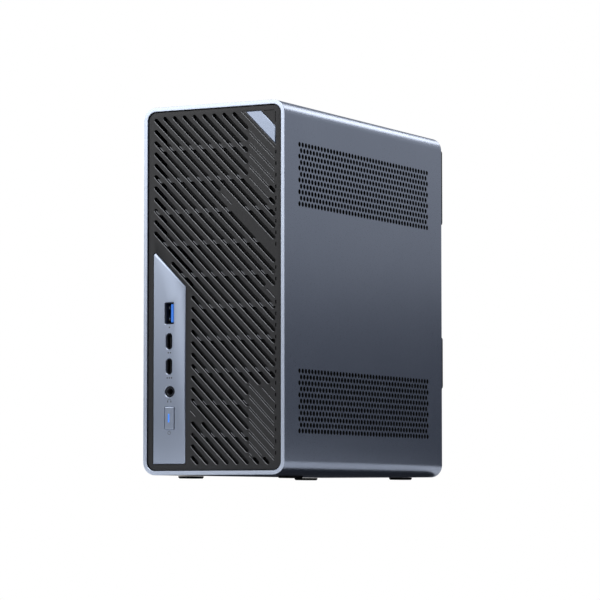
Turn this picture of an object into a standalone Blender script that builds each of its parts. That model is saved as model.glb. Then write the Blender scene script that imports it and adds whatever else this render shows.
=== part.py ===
"""Mini workstation computer: aluminium sleeve, slotted front, and a chassis that slides out."""
import math

import bmesh
import bpy

MM = 0.001

# ---- overall size, millimetres; X across, Y front to rear, Z up ----
WIDTH, DEPTH, HEIGHT = 97.0, 221.5, 225.0
FRONT_Y = -DEPTH / 2
REAR_TRIM = 2.2
SLEEVE_REAR_Y = DEPTH / 2 - REAR_TRIM
SLEEVE_BASE_Z = 1.8
WALL = 2.5
CORNER_R = 8.0
GAP = 0.3

FOOT_X, FOOT_INSET = 34.5, 34.0
FOOT_HALF_W, FOOT_HALF_L, FOOT_CHAMFER = 4.0, 9.5, 0.8

# ---- side vents: staggered rows of holes, each row cut here as one slot of equal open area ----
VENT_TOPS = (199.7, 63.75)
VENT_ROWS = 11
VENT_ROW_PITCH = 3.579
VENT_START, VENT_END = 17.7, 198.2
VENT_SLOT_H = 1.5

# ---- front grille ----
FACE_RECESS = 0.8
FRONT_GAP = 0.5
GRILLE_T = 3.0
SLOT_PITCH = 6.885
SLOT_FIRST = 176.8
SLOT_HALF = 1.13
FIELD_LEFT, FIELD_RIGHT = -40.5, 40.9
FIELD_TOP, FIELD_BOTTOM = 218.1, 9.1
INNER_LEFT, INNER_FROM = -14.4, -12
TOP_SLOT, BOTTOM_SLOT = 8, -26
# Slots beside the badge, the lettering band and the port strip stop short or start late; the
# numbers count slots from the one through the top left corner, upwards to the right.
SLOT_STARTS = {-11: -28.5, -22: -7.2}
SLOT_ENDS = {0: 3.6, -4: 34.3, -12: 37.4, -13: 31.1}
SLOT_ENDS.update({k: 22.4 for k in range(4, TOP_SLOT + 1)})
SLOT_ENDS.update({k: 22.9 for k in range(-20, -13)})
STUB_SLOTS, STUB_LENGTH = (5, 4, -19, -20), 2.2

# ---- port plate and badge: left, right, bottom, top, and where the slanting edges meet them ----
PLATE_LEFT, PLATE_RIGHT, PLATE_LOW, PLATE_HIGH, PLATE_SHOULDER = -41.8, -19.6, 8.6, 136.0, 115.2
BADGE_TOP, BADGE_RIGHT, BADGE_LINES = 218.9, 41.9, (240.7, 250.9)
BADGE_SEAT = 0.6
PLATE_PROUD, PLATE_T = 0.3, 2.5

# ---- behind the grille: filter and duct as left, right, bottom, top ----
FILTER_BOX, FILTER_T = (-16.0, 44.0, 7.0, 220.0), 0.7
DUCT_BOX, DUCT_WALL, DUCT_FRONT, DUCT_BACK = (-15.5, 43.5, 8.0, 68.0), 1.5, -104.0, -30.0

# ---- front ports, all on one centre line ----
PORT_X = -30.4
TYPE_A_Z, TYPE_C_Z, JACK_Z, BUTTON_Z = 99.5, (82.5, 67.35), 52.1, 36.1

# ---- chassis; rear sockets as right edge X, lowest Z and highest Z ----
REAR_SOCKETS = {"video": (-35.7, 201.0, 216.0), "type_a": (-26.3, 178.0, 191.2),
                "type_c": (-38.5, 166.4, 175.4), "lan_upper": (-28.2, 148.0, 164.0),
                "lan_lower": (-28.2, 124.0, 140.0)}
SOCKET_GAP, SOCKET_BACK = 0.4, 108.2
CAGE_X = {"left": -10.0, "right": 10.0}
CARD_Z, BRACKET_FRONT, BRACKET_BACK = 62.0, 105.5, 106.4
TRAY_SIDE = 45.4
BOARD_FACE_X = -42.0
BOARD_T = 1.6
PANEL_FRONT_Y, PANEL_REAR_Y = 106.9, 108.3
COOLER_Y, COOLER_Z, COOLER_HALF = -5.0, 160.0, 40.0
FIN_COUNT, FIN_PITCH, FIN_T = 21, 3.9, 0.8
FIN_ROOT, FIN_FACE, FIN_TIP = -29.1, -27.0, 5.0
EXHAUST_X, EXHAUST_Z = 22.0, 190.2
PSU_SIDE, PSU_SPAN_Z, PSU_FRONT, PSU_BACK = 40.75, (6.0, 46.5), -29.0, 106.4
PSU_FAN_X, PSU_FAN_Z = -17.5, 26.2
INLET_X, INLET_Z = 22.0, 26.2
STEM_X = PORT_X + 2.0
SHANK_R = 1.6
THUMB_SPOTS = {"upper": (38.0, 152.0), "lower": (38.0, 51.6)}

ALUMINIUM = ((0.30, 0.33, 0.40), 0.38, 1.0)
SILVER = ((0.46, 0.52, 0.62), 0.36, 1.0)
STEEL = ((0.45, 0.46, 0.48), 0.35, 1.0)
BLACK_STEEL = ((0.03, 0.03, 0.033), 0.5, 0.0)
CHARCOAL = ((0.052, 0.052, 0.054), 0.62, 0.0)
BLACK_PLASTIC = ((0.02, 0.02, 0.022), 0.5, 0.0)
RUBBER = ((0.015, 0.015, 0.016), 0.85, 0.0)
COPPER = ((0.72, 0.34, 0.2), 0.3, 1.0)
LAMINATE = ((0.01, 0.03, 0.025), 0.45, 0.0)
LIGHT_PIPE = ((0.1, 0.4, 1.0), 0.3, 0.0)
CLOTH = ((0.035, 0.035, 0.038), 0.9, 0.0)


def clear_scene():
    for obj in list(bpy.data.objects):
        bpy.data.objects.remove(obj, do_unlink=True)


# ---- outlines: lists of (u, v) points, anticlockwise ----
def rect(u0, u1, v0, v1):
    return [(u0, v0), (u1, v0), (u1, v1), (u0, v1)]


def arc(cu, cv, radius, start, end, steps):
    span = end - start
    angles = [math.radians(start + span * i / steps) for i in range(steps + 1)]
    return [(cu + radius * math.cos(a), cv + radius * math.sin(a)) for a in angles]


def rounded(u0, u1, v0, v1, radius, steps=4):
    return (arc(u1 - radius, v0 + radius, radius, -90, 0, steps)
            + arc(u1 - radius, v1 - radius, radius, 0, 90, steps)
            + arc(u0 + radius, v1 - radius, radius, 90, 180, steps)
            + arc(u0 + radius, v0 + radius, radius, 180, 270, steps))


def circle(cu, cv, radius, count=24):
    return arc(cu, cv, radius, 0, 360, count)[:-1]


def stadium(cu, cv, width, height, steps=4):
    return rounded(cu - width / 2, cu + width / 2, cv - height / 2, cv + height / 2,
                   min(width, height) / 2 - 0.01, steps)


def sector(cu, cv, inner, outer, start, end, steps=4):
    return arc(cu, cv, outer, start, end, steps) + arc(cu, cv, inner, end, start, steps)


def diagonal_slot(u0, v0, u1, v1, half, steps=3):
    heading = math.degrees(math.atan2(v1 - v0, u1 - u0))
    return (arc(u1, v1, half, heading - 90, heading + 90, steps)
            + arc(u0, v0, half, heading + 90, heading + 270, steps))


def blade_wheel(cu, cv, hub, tip, blades, sweep, thickness):
    """Outline of a fan wheel: a round hub with swept blades standing out of it."""
    points = []
    pitch = 360 / blades
    for i in range(blades):
        root = math.radians(pitch * i)
        lead = root + math.radians(sweep)
        width_root = thickness / hub
        width_tip = thickness / tip
        for radius, angle in ((hub, root), (tip, lead), (tip, lead + width_tip),
                              (hub, root + width_root)):
            points.append((cu + radius * math.cos(angle), cv + radius * math.sin(angle)))
        rest = root + (math.radians(pitch) + width_root) / 2
        points.append((cu + hub * math.cos(rest), cv + hub * math.sin(rest)))
    return points


# ---- solids built from outlines ----
def place(axis, u, v, w):
    """Map an outline point and a depth to X, Y, Z; the axis is the way the solid is extruded."""
    if axis == "X":
        return (w, u, v)
    if axis == "Y":
        return (u, w, v)
    return (u, v, w)


def ring(bm, axis, loop, level):
    verts = [bm.verts.new(place(axis, u, v, level)) for u, v in loop]
    edges = [bm.edges.new((a, b)) for a, b in zip(verts, verts[1:] + verts[:1])]
    return verts, edges


def wall(bm, first, second):
    count = len(first)
    for i in range(count):
        j = (i + 1) % count
        bm.faces.new((first[i], first[j], second[j], second[i]))


def cap(bm, rings):
    """Fill the flat area between an outer ring and the rings inside it."""
    edges = [edge for _, loop_edges in rings for edge in loop_edges]
    bmesh.ops.triangle_fill(bm, use_beauty=True, use_dissolve=False, edges=edges)


def terrace(bm, axis, rim, level, back, steps, through):
    """Fill one level around its steps; a step of level None is a hole to the back."""
    rims = [rim]
    for loop, depth, inner in steps:
        mouth = ring(bm, axis, loop, level)
        rims.append(mouth)
        floor = ring(bm, axis, loop, back if depth is None else depth)
        wall(bm, mouth[0], floor[0])
        if depth is None:
            through.append(floor)
        else:
            terrace(bm, axis, floor, depth, back, inner, through)
    cap(bm, rims)


def hole(loop):
    return (loop, None, ())


def pocket(loop, depth, inner=()):
    return (loop, depth, inner)


def paint(obj, finish):
    colour, rough, metal = finish
    mat = bpy.data.materials.new(obj.name + "_finish")
    mat.use_nodes = True
    shader = mat.node_tree.nodes["Principled BSDF"]
    shader.inputs["Base Color"].default_value = (*colour, 1.0)
    shader.inputs["Roughness"].default_value = rough
    shader.inputs["Metallic"].default_value = metal
    obj.data.materials.append(mat)


def finish_body(name, bm, finish, origin=(0.0, 0.0, 0.0), smooth_angle=30.0):
    bmesh.ops.recalc_face_normals(bm, faces=bm.faces)
    for vert in bm.verts:
        vert.co = [(c - o) * MM for c, o in zip(vert.co, origin)]
    for face in bm.faces:
        face.smooth = True
    mesh = bpy.data.meshes.new(name)
    bm.to_mesh(mesh)
    bm.free()
    mesh.set_sharp_from_angle(angle=math.radians(smooth_angle))
    obj = bpy.data.objects.new(name, mesh)
    obj.location = [o * MM for o in origin]
    bpy.context.collection.objects.link(obj)
    paint(obj, finish)
    return obj


def solid(name, axis, outer, front, back, finish, steps=(), rear_steps=(), origin=(0, 0, 0)):
    """Extrude an outline from front to back, with pockets or raised steps on either end."""
    bm = bmesh.new()
    front_rim = ring(bm, axis, outer, front)
    back_rim = ring(bm, axis, outer, back)
    wall(bm, front_rim[0], back_rim[0])
    through = []
    terrace(bm, axis, front_rim, front, back, steps, through)
    rims = [back_rim] + through
    for loop, depth, inner in rear_steps:
        mouth = ring(bm, axis, loop, back)
        floor = ring(bm, axis, loop, depth)
        wall(bm, mouth[0], floor[0])
        terrace(bm, axis, floor, depth, front, inner, [])
        rims.append(mouth)
    cap(bm, rims)
    return finish_body(name, bm, finish, origin)


def swept_tube(name, path, radius, finish, sides=8):
    """Round bar along a path that keeps to one plane of constant X."""
    bm = bmesh.new()
    loops = []
    for i, (x, y, z) in enumerate(path):
        before = path[max(i - 1, 0)]
        after = path[min(i + 1, len(path) - 1)]
        heading = math.atan2(after[2] - before[2], after[1] - before[1])
        loop = []
        for k in range(sides):
            a = 2 * math.pi * k / sides
            out = radius * math.sin(a)
            loop.append(bm.verts.new((x + radius * math.cos(a),
                                      y - out * math.sin(heading),
                                      z + out * math.cos(heading))))
        loops.append(loop)
    for first, second in zip(loops, loops[1:]):
        wall(bm, first, second)
    bm.faces.new(loops[0])
    bm.faces.new(loops[-1])
    return finish_body(name, bm, finish)


# ---- sleeve, feet and front ----
def build_sleeve():
    """Extruded rectangular tube with rounded corners and two vent areas in each side wall."""
    bm = bmesh.new()
    steps = 6
    sections = ((0.4, FRONT_Y), (0.0, FRONT_Y + 0.4), (0.0, SLEEVE_REAR_Y - 0.5),
                (0.5, SLEEVE_REAR_Y), (WALL - 0.4, SLEEVE_REAR_Y), (WALL, SLEEVE_REAR_Y - 0.4),
                (WALL, FRONT_Y + 0.7), (WALL - 0.7, FRONT_Y))
    rings = []
    for inset, y in sections:
        loop = rounded(-WIDTH / 2 + inset, WIDTH / 2 - inset, SLEEVE_BASE_Z + inset,
                       HEIGHT - inset, CORNER_R - inset, steps)
        rings.append(ring(bm, "Y", loop, y)[0])
    count = len(rings[0])
    side_edges = {"right": steps, "left": 3 * steps + 2}
    long_sections = {"outer": 1, "inner": 5}
    for s in range(len(rings)):
        first, second = rings[s], rings[(s + 1) % len(rings)]
        for i in range(count):
            if s in long_sections.values() and i in side_edges.values():
                continue
            j = (i + 1) % count
            bm.faces.new((first[i], first[j], second[j], second[i]))
    for side, i in side_edges.items():
        sign = 1 if side == "right" else -1
        slots = {}
        for surface, s in long_sections.items():
            x = sign * (WIDTH / 2 - (WALL if surface == "inner" else 0.0))
            corners = (rings[s][i], rings[s][i + 1], rings[s + 1][i + 1], rings[s + 1][i])
            frame = [bm.edges.get((a, b)) for a, b in zip(corners, corners[1:] + corners[:1])]
            slots[surface] = [ring(bm, "X", loop, x) for loop in vent_slots()]
            cap(bm, [(None, frame)] + slots[surface])
        for outer, inner in zip(slots["outer"], slots["inner"]):
            wall(bm, outer[0], inner[0])
    return finish_body("outer_sleeve", bm, ALUMINIUM)


def vent_slots():
    loops = []
    for top in VENT_TOPS:
        for row in range(VENT_ROWS):
            z = top - row * VENT_ROW_PITCH
            loops.append(rect(FRONT_Y + VENT_START, FRONT_Y + VENT_END,
                              z - VENT_SLOT_H / 2, z + VENT_SLOT_H / 2))
    return loops


def build_feet():
    half_w, half_l, edge, top = FOOT_HALF_W, FOOT_HALF_L, FOOT_CHAMFER, SLEEVE_BASE_Z - GAP
    for side, x in (("left", -FOOT_X), ("right", FOOT_X)):
        for end, y in (("front", FRONT_Y + FOOT_INSET), ("rear", SLEEVE_REAR_Y - FOOT_INSET)):
            outer = rounded(x - half_w, x + half_w, y - half_l, y + half_l, 1.2, 2)
            inner = rounded(x - half_w + edge, x + half_w - edge,
                            y - half_l + edge, y + half_l - edge, 0.8, 2)
            bm = bmesh.new()
            rims = [ring(bm, "Z", outer, top), ring(bm, "Z", outer, edge),
                    ring(bm, "Z", inner, 0.0)]
            wall(bm, rims[0][0], rims[1][0])
            wall(bm, rims[1][0], rims[2][0])
            cap(bm, [rims[0]])
            cap(bm, [rims[2]])
            finish_body(f"rubber_foot_{end}_{side}", bm, RUBBER)


def slot_spans():
    """Each diagonal slot as its line X + Z and the X where it starts and ends."""
    spans = []
    for k in range(BOTTOM_SLOT, TOP_SLOT + 1):
        line = SLOT_FIRST + k * SLOT_PITCH
        left = INNER_LEFT if k <= INNER_FROM else FIELD_LEFT
        start = SLOT_STARTS.get(k, max(left, line - FIELD_TOP))
        end = min(FIELD_RIGHT, line - FIELD_BOTTOM)
        spans.append((line, start, SLOT_ENDS.get(k, end)))
        if k in STUB_SLOTS:
            spans.append((line, end - STUB_LENGTH, end))
    return spans


def plate_outline(grow):
    """Port plate: a tall strip with its top cut off at 45 degrees."""
    left, right = PLATE_LEFT - grow, PLATE_RIGHT + grow
    low, high = PLATE_LOW - grow, PLATE_HIGH + grow
    shoulder = PLATE_SHOULDER + math.sqrt(2) * grow
    chamfer, blunt = 0.8, 0.6
    return [(left, low), (right - chamfer, low), (right, low + chamfer), (right, shoulder),
            (right - (high - shoulder), high), (left + blunt, high), (left, high - blunt)]


def badge_outline(grow):
    """Badge: a short strip lying along the slots, its ends cut by the frame."""
    top, right = BADGE_TOP + grow, BADGE_RIGHT + grow
    lower, upper = BADGE_LINES[0] - math.sqrt(2) * grow, BADGE_LINES[1] + math.sqrt(2) * grow
    return [(lower - top, top), (right, lower - right), (right, upper - right),
            (upper - top, top)]


def build_front():
    face = FRONT_Y + FACE_RECESS
    inset = WALL + FRONT_GAP
    outer = rounded(-WIDTH / 2 + inset, WIDTH / 2 - inset, SLEEVE_BASE_Z + inset,
                    HEIGHT - inset, CORNER_R - inset, 5)
    steps = [hole(diagonal_slot(x0, line - x0, x1, line - x1, SLOT_HALF))
             for line, x0, x1 in slot_spans()]
    steps.append(hole(plate_outline(GAP)))
    steps.append(pocket(badge_outline(GAP), face + BADGE_SEAT + GAP))
    solid("front_grille", "Y", outer, face, face + GRILLE_T, CHARCOAL, steps)
    solid("badge_plate", "Y", badge_outline(0), face - 0.2, face + BADGE_SEAT, SILVER)
    openings = [hole(rounded(PORT_X - 3.3, PORT_X + 3.1, TYPE_A_Z - 6.7, TYPE_A_Z + 6.7, 0.5, 2)),
                hole(circle(PORT_X, JACK_Z, 3.5)),
                hole(rounded(PORT_X - 3.6, PORT_X + 3.6, BUTTON_Z - 7.1, BUTTON_Z + 7.1, 1.0, 3))]
    openings += [hole(stadium(PORT_X - 0.5, z, 4.2, 9.9)) for z in TYPE_C_Z]
    solid("front_port_plate", "Y", plate_outline(0), face - PLATE_PROUD,
          face - PLATE_PROUD + PLATE_T, SILVER, openings)
    back = face + GRILLE_T + GAP
    solid("dust_filter", "Y", rounded(*FILTER_BOX, 3.0, 3), back, back + FILTER_T, CLOTH)


def build_power_button():
    """Cap with a retaining flange behind the port plate, a stem, and a light pipe in a slot."""
    face = FRONT_Y + FACE_RECESS
    origin = (PORT_X, face + 1.0, BUTTON_Z)
    flange = rounded(PORT_X - 4.6, PORT_X + 4.6, BUTTON_Z - 8.1, BUTTON_Z + 8.1, 1.0, 3)
    cap_loop = rounded(PORT_X - 3.3, PORT_X + 3.3, BUTTON_Z - 6.8, BUTTON_Z + 6.8, 0.8, 3)
    pipe_slot = rounded(PORT_X - 1.2, PORT_X + 0.4, BUTTON_Z - 2.9, BUTTON_Z + 2.9, 0.5, 2)
    stem = circle(STEM_X, BUTTON_Z, 1.0, 10)
    button = solid("power_button_cap", "Y", flange, face + 2.6, face + 3.3, SILVER,
                   steps=(pocket(cap_loop, face - 0.6, (hole(pipe_slot),)),),
                   rear_steps=(pocket(stem, face + 6.6),), origin=origin)
    pipe_loop = rounded(PORT_X - 0.9, PORT_X + 0.1, BUTTON_Z - 2.6, BUTTON_Z + 2.6, 0.4, 2)
    pipe = solid("power_light_pipe", "Y", pipe_loop, face - 0.65, face + 3.2, LIGHT_PIPE,
                 origin=origin)
    pipe.parent = button
    pipe.location = (0, 0, 0)


def build_duct():
    """Moulded duct behind the lower grille, leading the intake air to the power supply."""
    left, right, low, high = DUCT_BOX
    bore = rounded(left + DUCT_WALL, right - DUCT_WALL, low + DUCT_WALL, high - DUCT_WALL, 2.5)
    solid("intake_duct", "Y", rounded(left, right, low, high, 2.5 + DUCT_WALL), DUCT_FRONT,
          DUCT_BACK, CHARCOAL, [hole(bore)])


def build_sleeve_tabs():
    """Tapped tabs on the sleeve's right wall that the thumbscrews turn into."""
    for place_name, (x, z) in THUMB_SPOTS.items():
        solid(f"sleeve_tab_{place_name}", "Y", rect(x - 4.3, WIDTH / 2 - WALL - GAP, z - 4, z + 4),
              100.0, 105.5, ALUMINIUM, [hole(circle(x, z, SHANK_R + GAP, 12))])


# ---- chassis: everything here is carried by the tray ----
def build_tray():
    """Folded sheet: base, left wall and a short top lip, with rounded folds."""
    left, low, high, sheet, fold = -TRAY_SIDE, 4.7, 222.1, 1.0, 5.0
    outside = (arc(left + fold, low + fold, fold, 270, 180, 4)
               + arc(left + fold, high - fold, fold, 180, 90, 4))
    inside = (arc(left + fold, high - fold, fold - sheet, 90, 180, 4)
              + arc(left + fold, low + fold, fold - sheet, 180, 270, 4))
    outline = ([(40.0, low)] + outside + [(-34.0, high), (-34.0, high - sheet)] + inside
               + [(40.0, low + sheet)])
    solid("chassis_tray", "Y", outline, -104.0, 106.4, STEEL)


def rear_port_cutouts():
    left = BOARD_FACE_X + GAP - SOCKET_GAP
    return [rect(left, right + SOCKET_GAP, low - SOCKET_GAP, high + SOCKET_GAP)
            for right, low, high in REAR_SOCKETS.values()]


def build_rear_panel():
    """Steel rear wall with openings for fan, ports, cards and power supply, and vent slots."""
    openings = rear_port_cutouts()
    card_window, supply_window = (-34.0, 30.0, 57.0, 96.6), (-39.5, 39.5, 7.5, 45.0)
    openings.append(circle(EXHAUST_X, EXHAUST_Z, 19.5))
    openings.append(rect(*card_window))
    openings.append(rounded(*supply_window, 1.5, 2))
    openings += [circle(x, z, SHANK_R + GAP, 12) for x, z in THUMB_SPOTS.values()]
    louvre_w, louvre_low, louvre_high = 2.2, 104.0, 160.0
    openings += [rect(x, x + louvre_w, louvre_low, louvre_high) for x in range(-18, 31, 6)]
    solid("rear_panel", "Y", rounded(-45.6, 45.6, 4.7, 222.1, 5.0), PANEL_FRONT_Y, PANEL_REAR_Y,
          BLACK_STEEL, [hole(loop) for loop in openings])


def build_rear_trim():
    """Two moulded covers standing proud of the rear: fan guard and card bracket cover."""
    front, back = PANEL_REAR_Y + GAP, DEPTH / 2
    rings = ((4.5, 8.5), (10.5, 14.0), (16.0, 19.4))
    openings = [hole(sector(EXHAUST_X, EXHAUST_Z, inner, outer, turn + 7, turn + 83))
                for inner, outer in rings for turn in (0, 90, 180, 270)]
    solid("exhaust_guard", "Y", rounded(-1.0, 45.0, 167.3, 213.2, 3.0), front, back,
          BLACK_PLASTIC, openings)
    screws = [pocket(circle(40.5, z, 2.2, 12), back - 1.2) for z in (66.6, 86.9)]
    solid("bracket_cover", "Y", rounded(30.6, 45.2, 59.5, 94.0, 2.0), front, back, BLACK_PLASTIC,
          rear_steps=screws)


def build_motherboard():
    holes = [hole(circle(y, z, 1.6, 10)) for y in (-55.0, 98.0) for z in (54.0, 121.0)]
    solid("motherboard", "X", rect(-60.0, 104.0, 50.0, 218.0), BOARD_FACE_X,
          BOARD_FACE_X - BOARD_T, LAMINATE, holes)
    seat = BOARD_FACE_X + GAP
    solid("cpu_package", "X", rect(-30.0, 20.0, 139.0, 181.0), seat + 1.3, seat, LAMINATE,
          [pocket(rect(-15.0, 5.0, 152.0, 168.0), seat + 1.7)])
    solid("wireless_card", "X", rect(40.0, 70.0, 150.0, 172.0), seat + 3.0, seat + 2.2, LAMINATE,
          [pocket(rect(44.0, 66.0, 153.0, 169.0), seat + 4.4)])
    solid("solid_state_drive", "X", rect(-50.0, 30.0, 190.0, 212.0), seat + 3.0, seat + 2.2,
          LAMINATE, [pocket(rect(y, y + 15.0, 192.0, 210.0), seat + 4.4) for y in (-42.0, -22.0, -2.0)])
    solid("coin_cell", "X", circle(60.0, 197.0, 10.0), seat + 3.2, seat, STEEL)


def build_memory():
    for letter, start in (("a", -58.0), ("b", 14.0)):
        seat = BOARD_FACE_X + GAP
        solid(f"memory_socket_{letter}", "Z", rect(seat, seat + 5.4, start - 1.0, start + 68.6),
              88.5, 82.0, BLACK_PLASTIC,
              [pocket(rect(seat + 2.7, seat + 4.5, start - 0.3, start + 67.9), 84.5)])
        chips = [pocket(rect(start + 4 + 16 * i, start + 15 + 16 * i, 96.0, 110.0), seat + 5.4)
                 for i in range(4)]
        solid(f"memory_module_{letter}", "X", rect(start, start + 67.6, 85.0, 115.0),
              seat + 4.2, seat + 3.0, LAMINATE, chips)


def build_cooler():
    """Cold plate, three pipes, finned block and a round fan that blows through the fins."""
    low, high = COOLER_Y - COOLER_HALF, COOLER_Y + COOLER_HALF
    solid("cold_plate", "X", rounded(-31.0, 21.0, 134.0, 186.0, 3.0, 2), -35.7, -39.7, COPPER)
    steps, near_pitch, far_pitch, pipe_half = 12, 8.0, 26.0, COOLER_HALF - 1.0
    for i in range(3):
        middle, end = COOLER_Z + near_pitch * (i - 1), COOLER_Z + far_pitch * (i - 1)
        path = []
        for step in range(steps + 1):
            y = COOLER_Y - pipe_half + 2 * pipe_half * step / steps
            lean = min(abs(y - COOLER_Y) / (pipe_half - 3.0), 1.0)
            ease = lean * lean * (3 - 2 * lean)
            path.append((-32.4, y, middle + (end - middle) * ease))
        swept_tube(f"heat_pipe_{i + 1}", path, 3.0, COPPER)
    fins = []
    for i in range(FIN_COUNT):
        y = low + FIN_PITCH * i
        fins += [(FIN_FACE, y), (FIN_TIP, y), (FIN_TIP, y + FIN_T), (FIN_FACE, y + FIN_T)]
    outline = [(FIN_ROOT, low)] + fins[1:-1] + [(FIN_ROOT, fins[-1][1])]
    solid("fin_stack", "Z", outline, 202.0, 118.0, ALUMINIUM)
    build_fan("cooler_fan", "X", (COOLER_Y, COOLER_Z),
              rounded(low, high, COOLER_Z - COOLER_HALF, COOLER_Z + COOLER_HALF, 4.0),
              (23.0, 8.0), 38.0, 16.0, 9)


def build_fan(name, axis, centre, frame_loop, span, bore, hub, blades):
    """Fan frame with four spokes at its back, and a wheel with its origin on the fan's axis."""
    cu, cv = centre
    front, back = span
    inward = 1 if back > front else -1
    spoke_level = back - 2.5 * inward
    windows = [hole(sector(cu, cv, hub + 1.0, bore - 1.2, turn + 6, turn + 84))
               for turn in (0, 90, 180, 270)]
    solid(f"{name}_frame", axis, frame_loop, front, back, BLACK_PLASTIC,
          [pocket(circle(cu, cv, bore, 32), spoke_level, windows)])
    wheel = blade_wheel(cu, cv, hub, bore - 1.2, blades, 26.0, 2.2)
    near, far = front + 1.2 * inward, spoke_level - 0.8 * inward
    solid(f"{name}_rotor", axis, wheel, near, far, BLACK_PLASTIC,
          origin=place(axis, cu, cv, (near + far) / 2))


def build_cards():
    """Card-edge slot, network card with two cages, its bracket and the blank beside it."""
    seat = BOARD_FACE_X + GAP
    solid("card_slot", "X", rect(12.0, 101.0, 59.1, 66.5), seat + 10.9, seat, BLACK_PLASTIC,
          [pocket(rect(13.5, 99.5, 61.65, 63.95), seat + 3.2)])
    fins = [pocket(rect(x, x + 1.6, -8.0, 38.0), 75.0) for x in range(-19, 18, 5)]
    outline = [(-30.3, -28.0), (36.0, -28.0), (36.0, 104.0), (-30.3, 104.0), (-30.3, 98.0),
               (-38.0, 98.0), (-38.0, 15.0), (-30.3, 15.0)]
    solid("network_card", "Z", outline, CARD_Z + BOARD_T, CARD_Z, LAMINATE,
          [pocket(rect(-20.0, 20.0, -10.0, 40.0), 67.0, fins)])
    for side, x in CAGE_X.items():
        solid(f"network_cage_{side}", "Y", rect(x - 7.1, x + 7.1, 63.9, 73.4), 55.0, 108.1, STEEL,
              rear_steps=[pocket(rect(x - 6.7, x + 6.7, 64.3, 73.0), 60.0)])
    cuts = [hole(rect(x - 7.4, x + 7.4, 63.6, 73.7)) for x in CAGE_X.values()]
    left, right, height, pitch = -36.5, 42.4, 18.2, 20.3
    for name, low, finish, openings in (("card_bracket", 57.6, STEEL, cuts),
                                        ("blank_bracket", 57.6 + pitch, BLACK_STEEL, [])):
        solid(name, "Y", rect(left, right, low, low + height), BRACKET_FRONT, BRACKET_BACK,
              finish, openings)


def build_power_supply():
    """Steel case open to the duct, fan and mains inlet in its rear wall."""
    inlet_hole = rect(INLET_X - 14.1, INLET_X + 14.1, INLET_Z - 10.3, INLET_Z + 10.3)
    sheet = 1.0
    solid("psu_case", "Y", rect(-PSU_SIDE, PSU_SIDE, *PSU_SPAN_Z), PSU_FRONT, PSU_BACK, STEEL,
          [pocket(rect(-PSU_SIDE + sheet, PSU_SIDE - sheet, PSU_SPAN_Z[0] + sheet,
                       PSU_SPAN_Z[1] - sheet), PSU_BACK - sheet,
                  (hole(circle(PSU_FAN_X, PSU_FAN_Z, 17.6)), hole(inlet_hole)))])
    half = 18.8
    build_fan("psu_fan", "Y", (PSU_FAN_X, PSU_FAN_Z),
              rounded(PSU_FAN_X - half, PSU_FAN_X + half, PSU_FAN_Z - half, PSU_FAN_Z + half, 2.0),
              (90.0, 105.1), 17.6, 8.0, 7)
    socket = [(INLET_X - 12, INLET_Z - 8.2), (INLET_X + 12, INLET_Z - 8.2),
              (INLET_X + 12, INLET_Z + 3.5), (INLET_X + 7.5, INLET_Z + 8.2),
              (INLET_X - 7.5, INLET_Z + 8.2), (INLET_X - 12, INLET_Z + 3.5)]
    pins = [pocket(rect(x - 1, x + 1, z - 2, z + 2), 103.0)
            for x, z in ((INLET_X - 7, INLET_Z - 2), (INLET_X + 7, INLET_Z - 2),
                         (INLET_X, INLET_Z + 2))]
    solid("power_inlet", "Y", rounded(INLET_X - 13.7, INLET_X + 13.7, INLET_Z - 9.9,
                                      INLET_Z + 9.9, 1.5, 2), 84.0, 108.0, BLACK_PLASTIC,
          rear_steps=[pocket(socket, 92.0, pins)])


def build_front_ports():
    """Upright board behind the port plate with its sockets and the button's switch."""
    solid("front_io_board", "X", rect(-105.0, -62.0, 20.0, 112.0), -34.3, -35.9, LAMINATE)
    solid("front_type_a_port", "Y", rect(-33.4, -27.6, TYPE_A_Z - 6.4, TYPE_A_Z + 6.4),
          -109.6, -95.6, STEEL,
          [pocket(rect(-33.05, -27.95, TYPE_A_Z - 6.05, TYPE_A_Z + 6.05), -99.0,
                  [pocket(rect(-30.1, -28.3, TYPE_A_Z - 5.3, TYPE_A_Z + 5.3), -108.4)])])
    for label, z in zip(("upper", "lower"), TYPE_C_Z):
        x = PORT_X - 0.5
        solid(f"front_type_c_port_{label}", "Y", stadium(x, z, 3.2, 9.0), -109.4, -98.0, STEEL,
              [pocket(stadium(x, z, 2.5, 8.3), -103.0,
                      [pocket(rect(x - 0.35, x + 0.35, z - 3.2, z + 3.2), -108.2)])])
    solid("front_audio_jack", "Y", rect(-34.0, -26.8, JACK_Z - 3.6, JACK_Z + 3.6), -106.2, -94.0,
          BLACK_PLASTIC,
          [pocket(circle(PORT_X, JACK_Z, 3.1), -109.7, [pocket(circle(PORT_X, JACK_Z, 1.75), -97.0)])])
    solid("power_switch", "Y", rect(-34.0, -25.4, BUTTON_Z - 3.5, BUTTON_Z + 3.5), -101.5, -98.0,
          BLACK_PLASTIC, [pocket(circle(STEM_X, BUTTON_Z, 1.6, 12), -102.7)])


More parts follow.
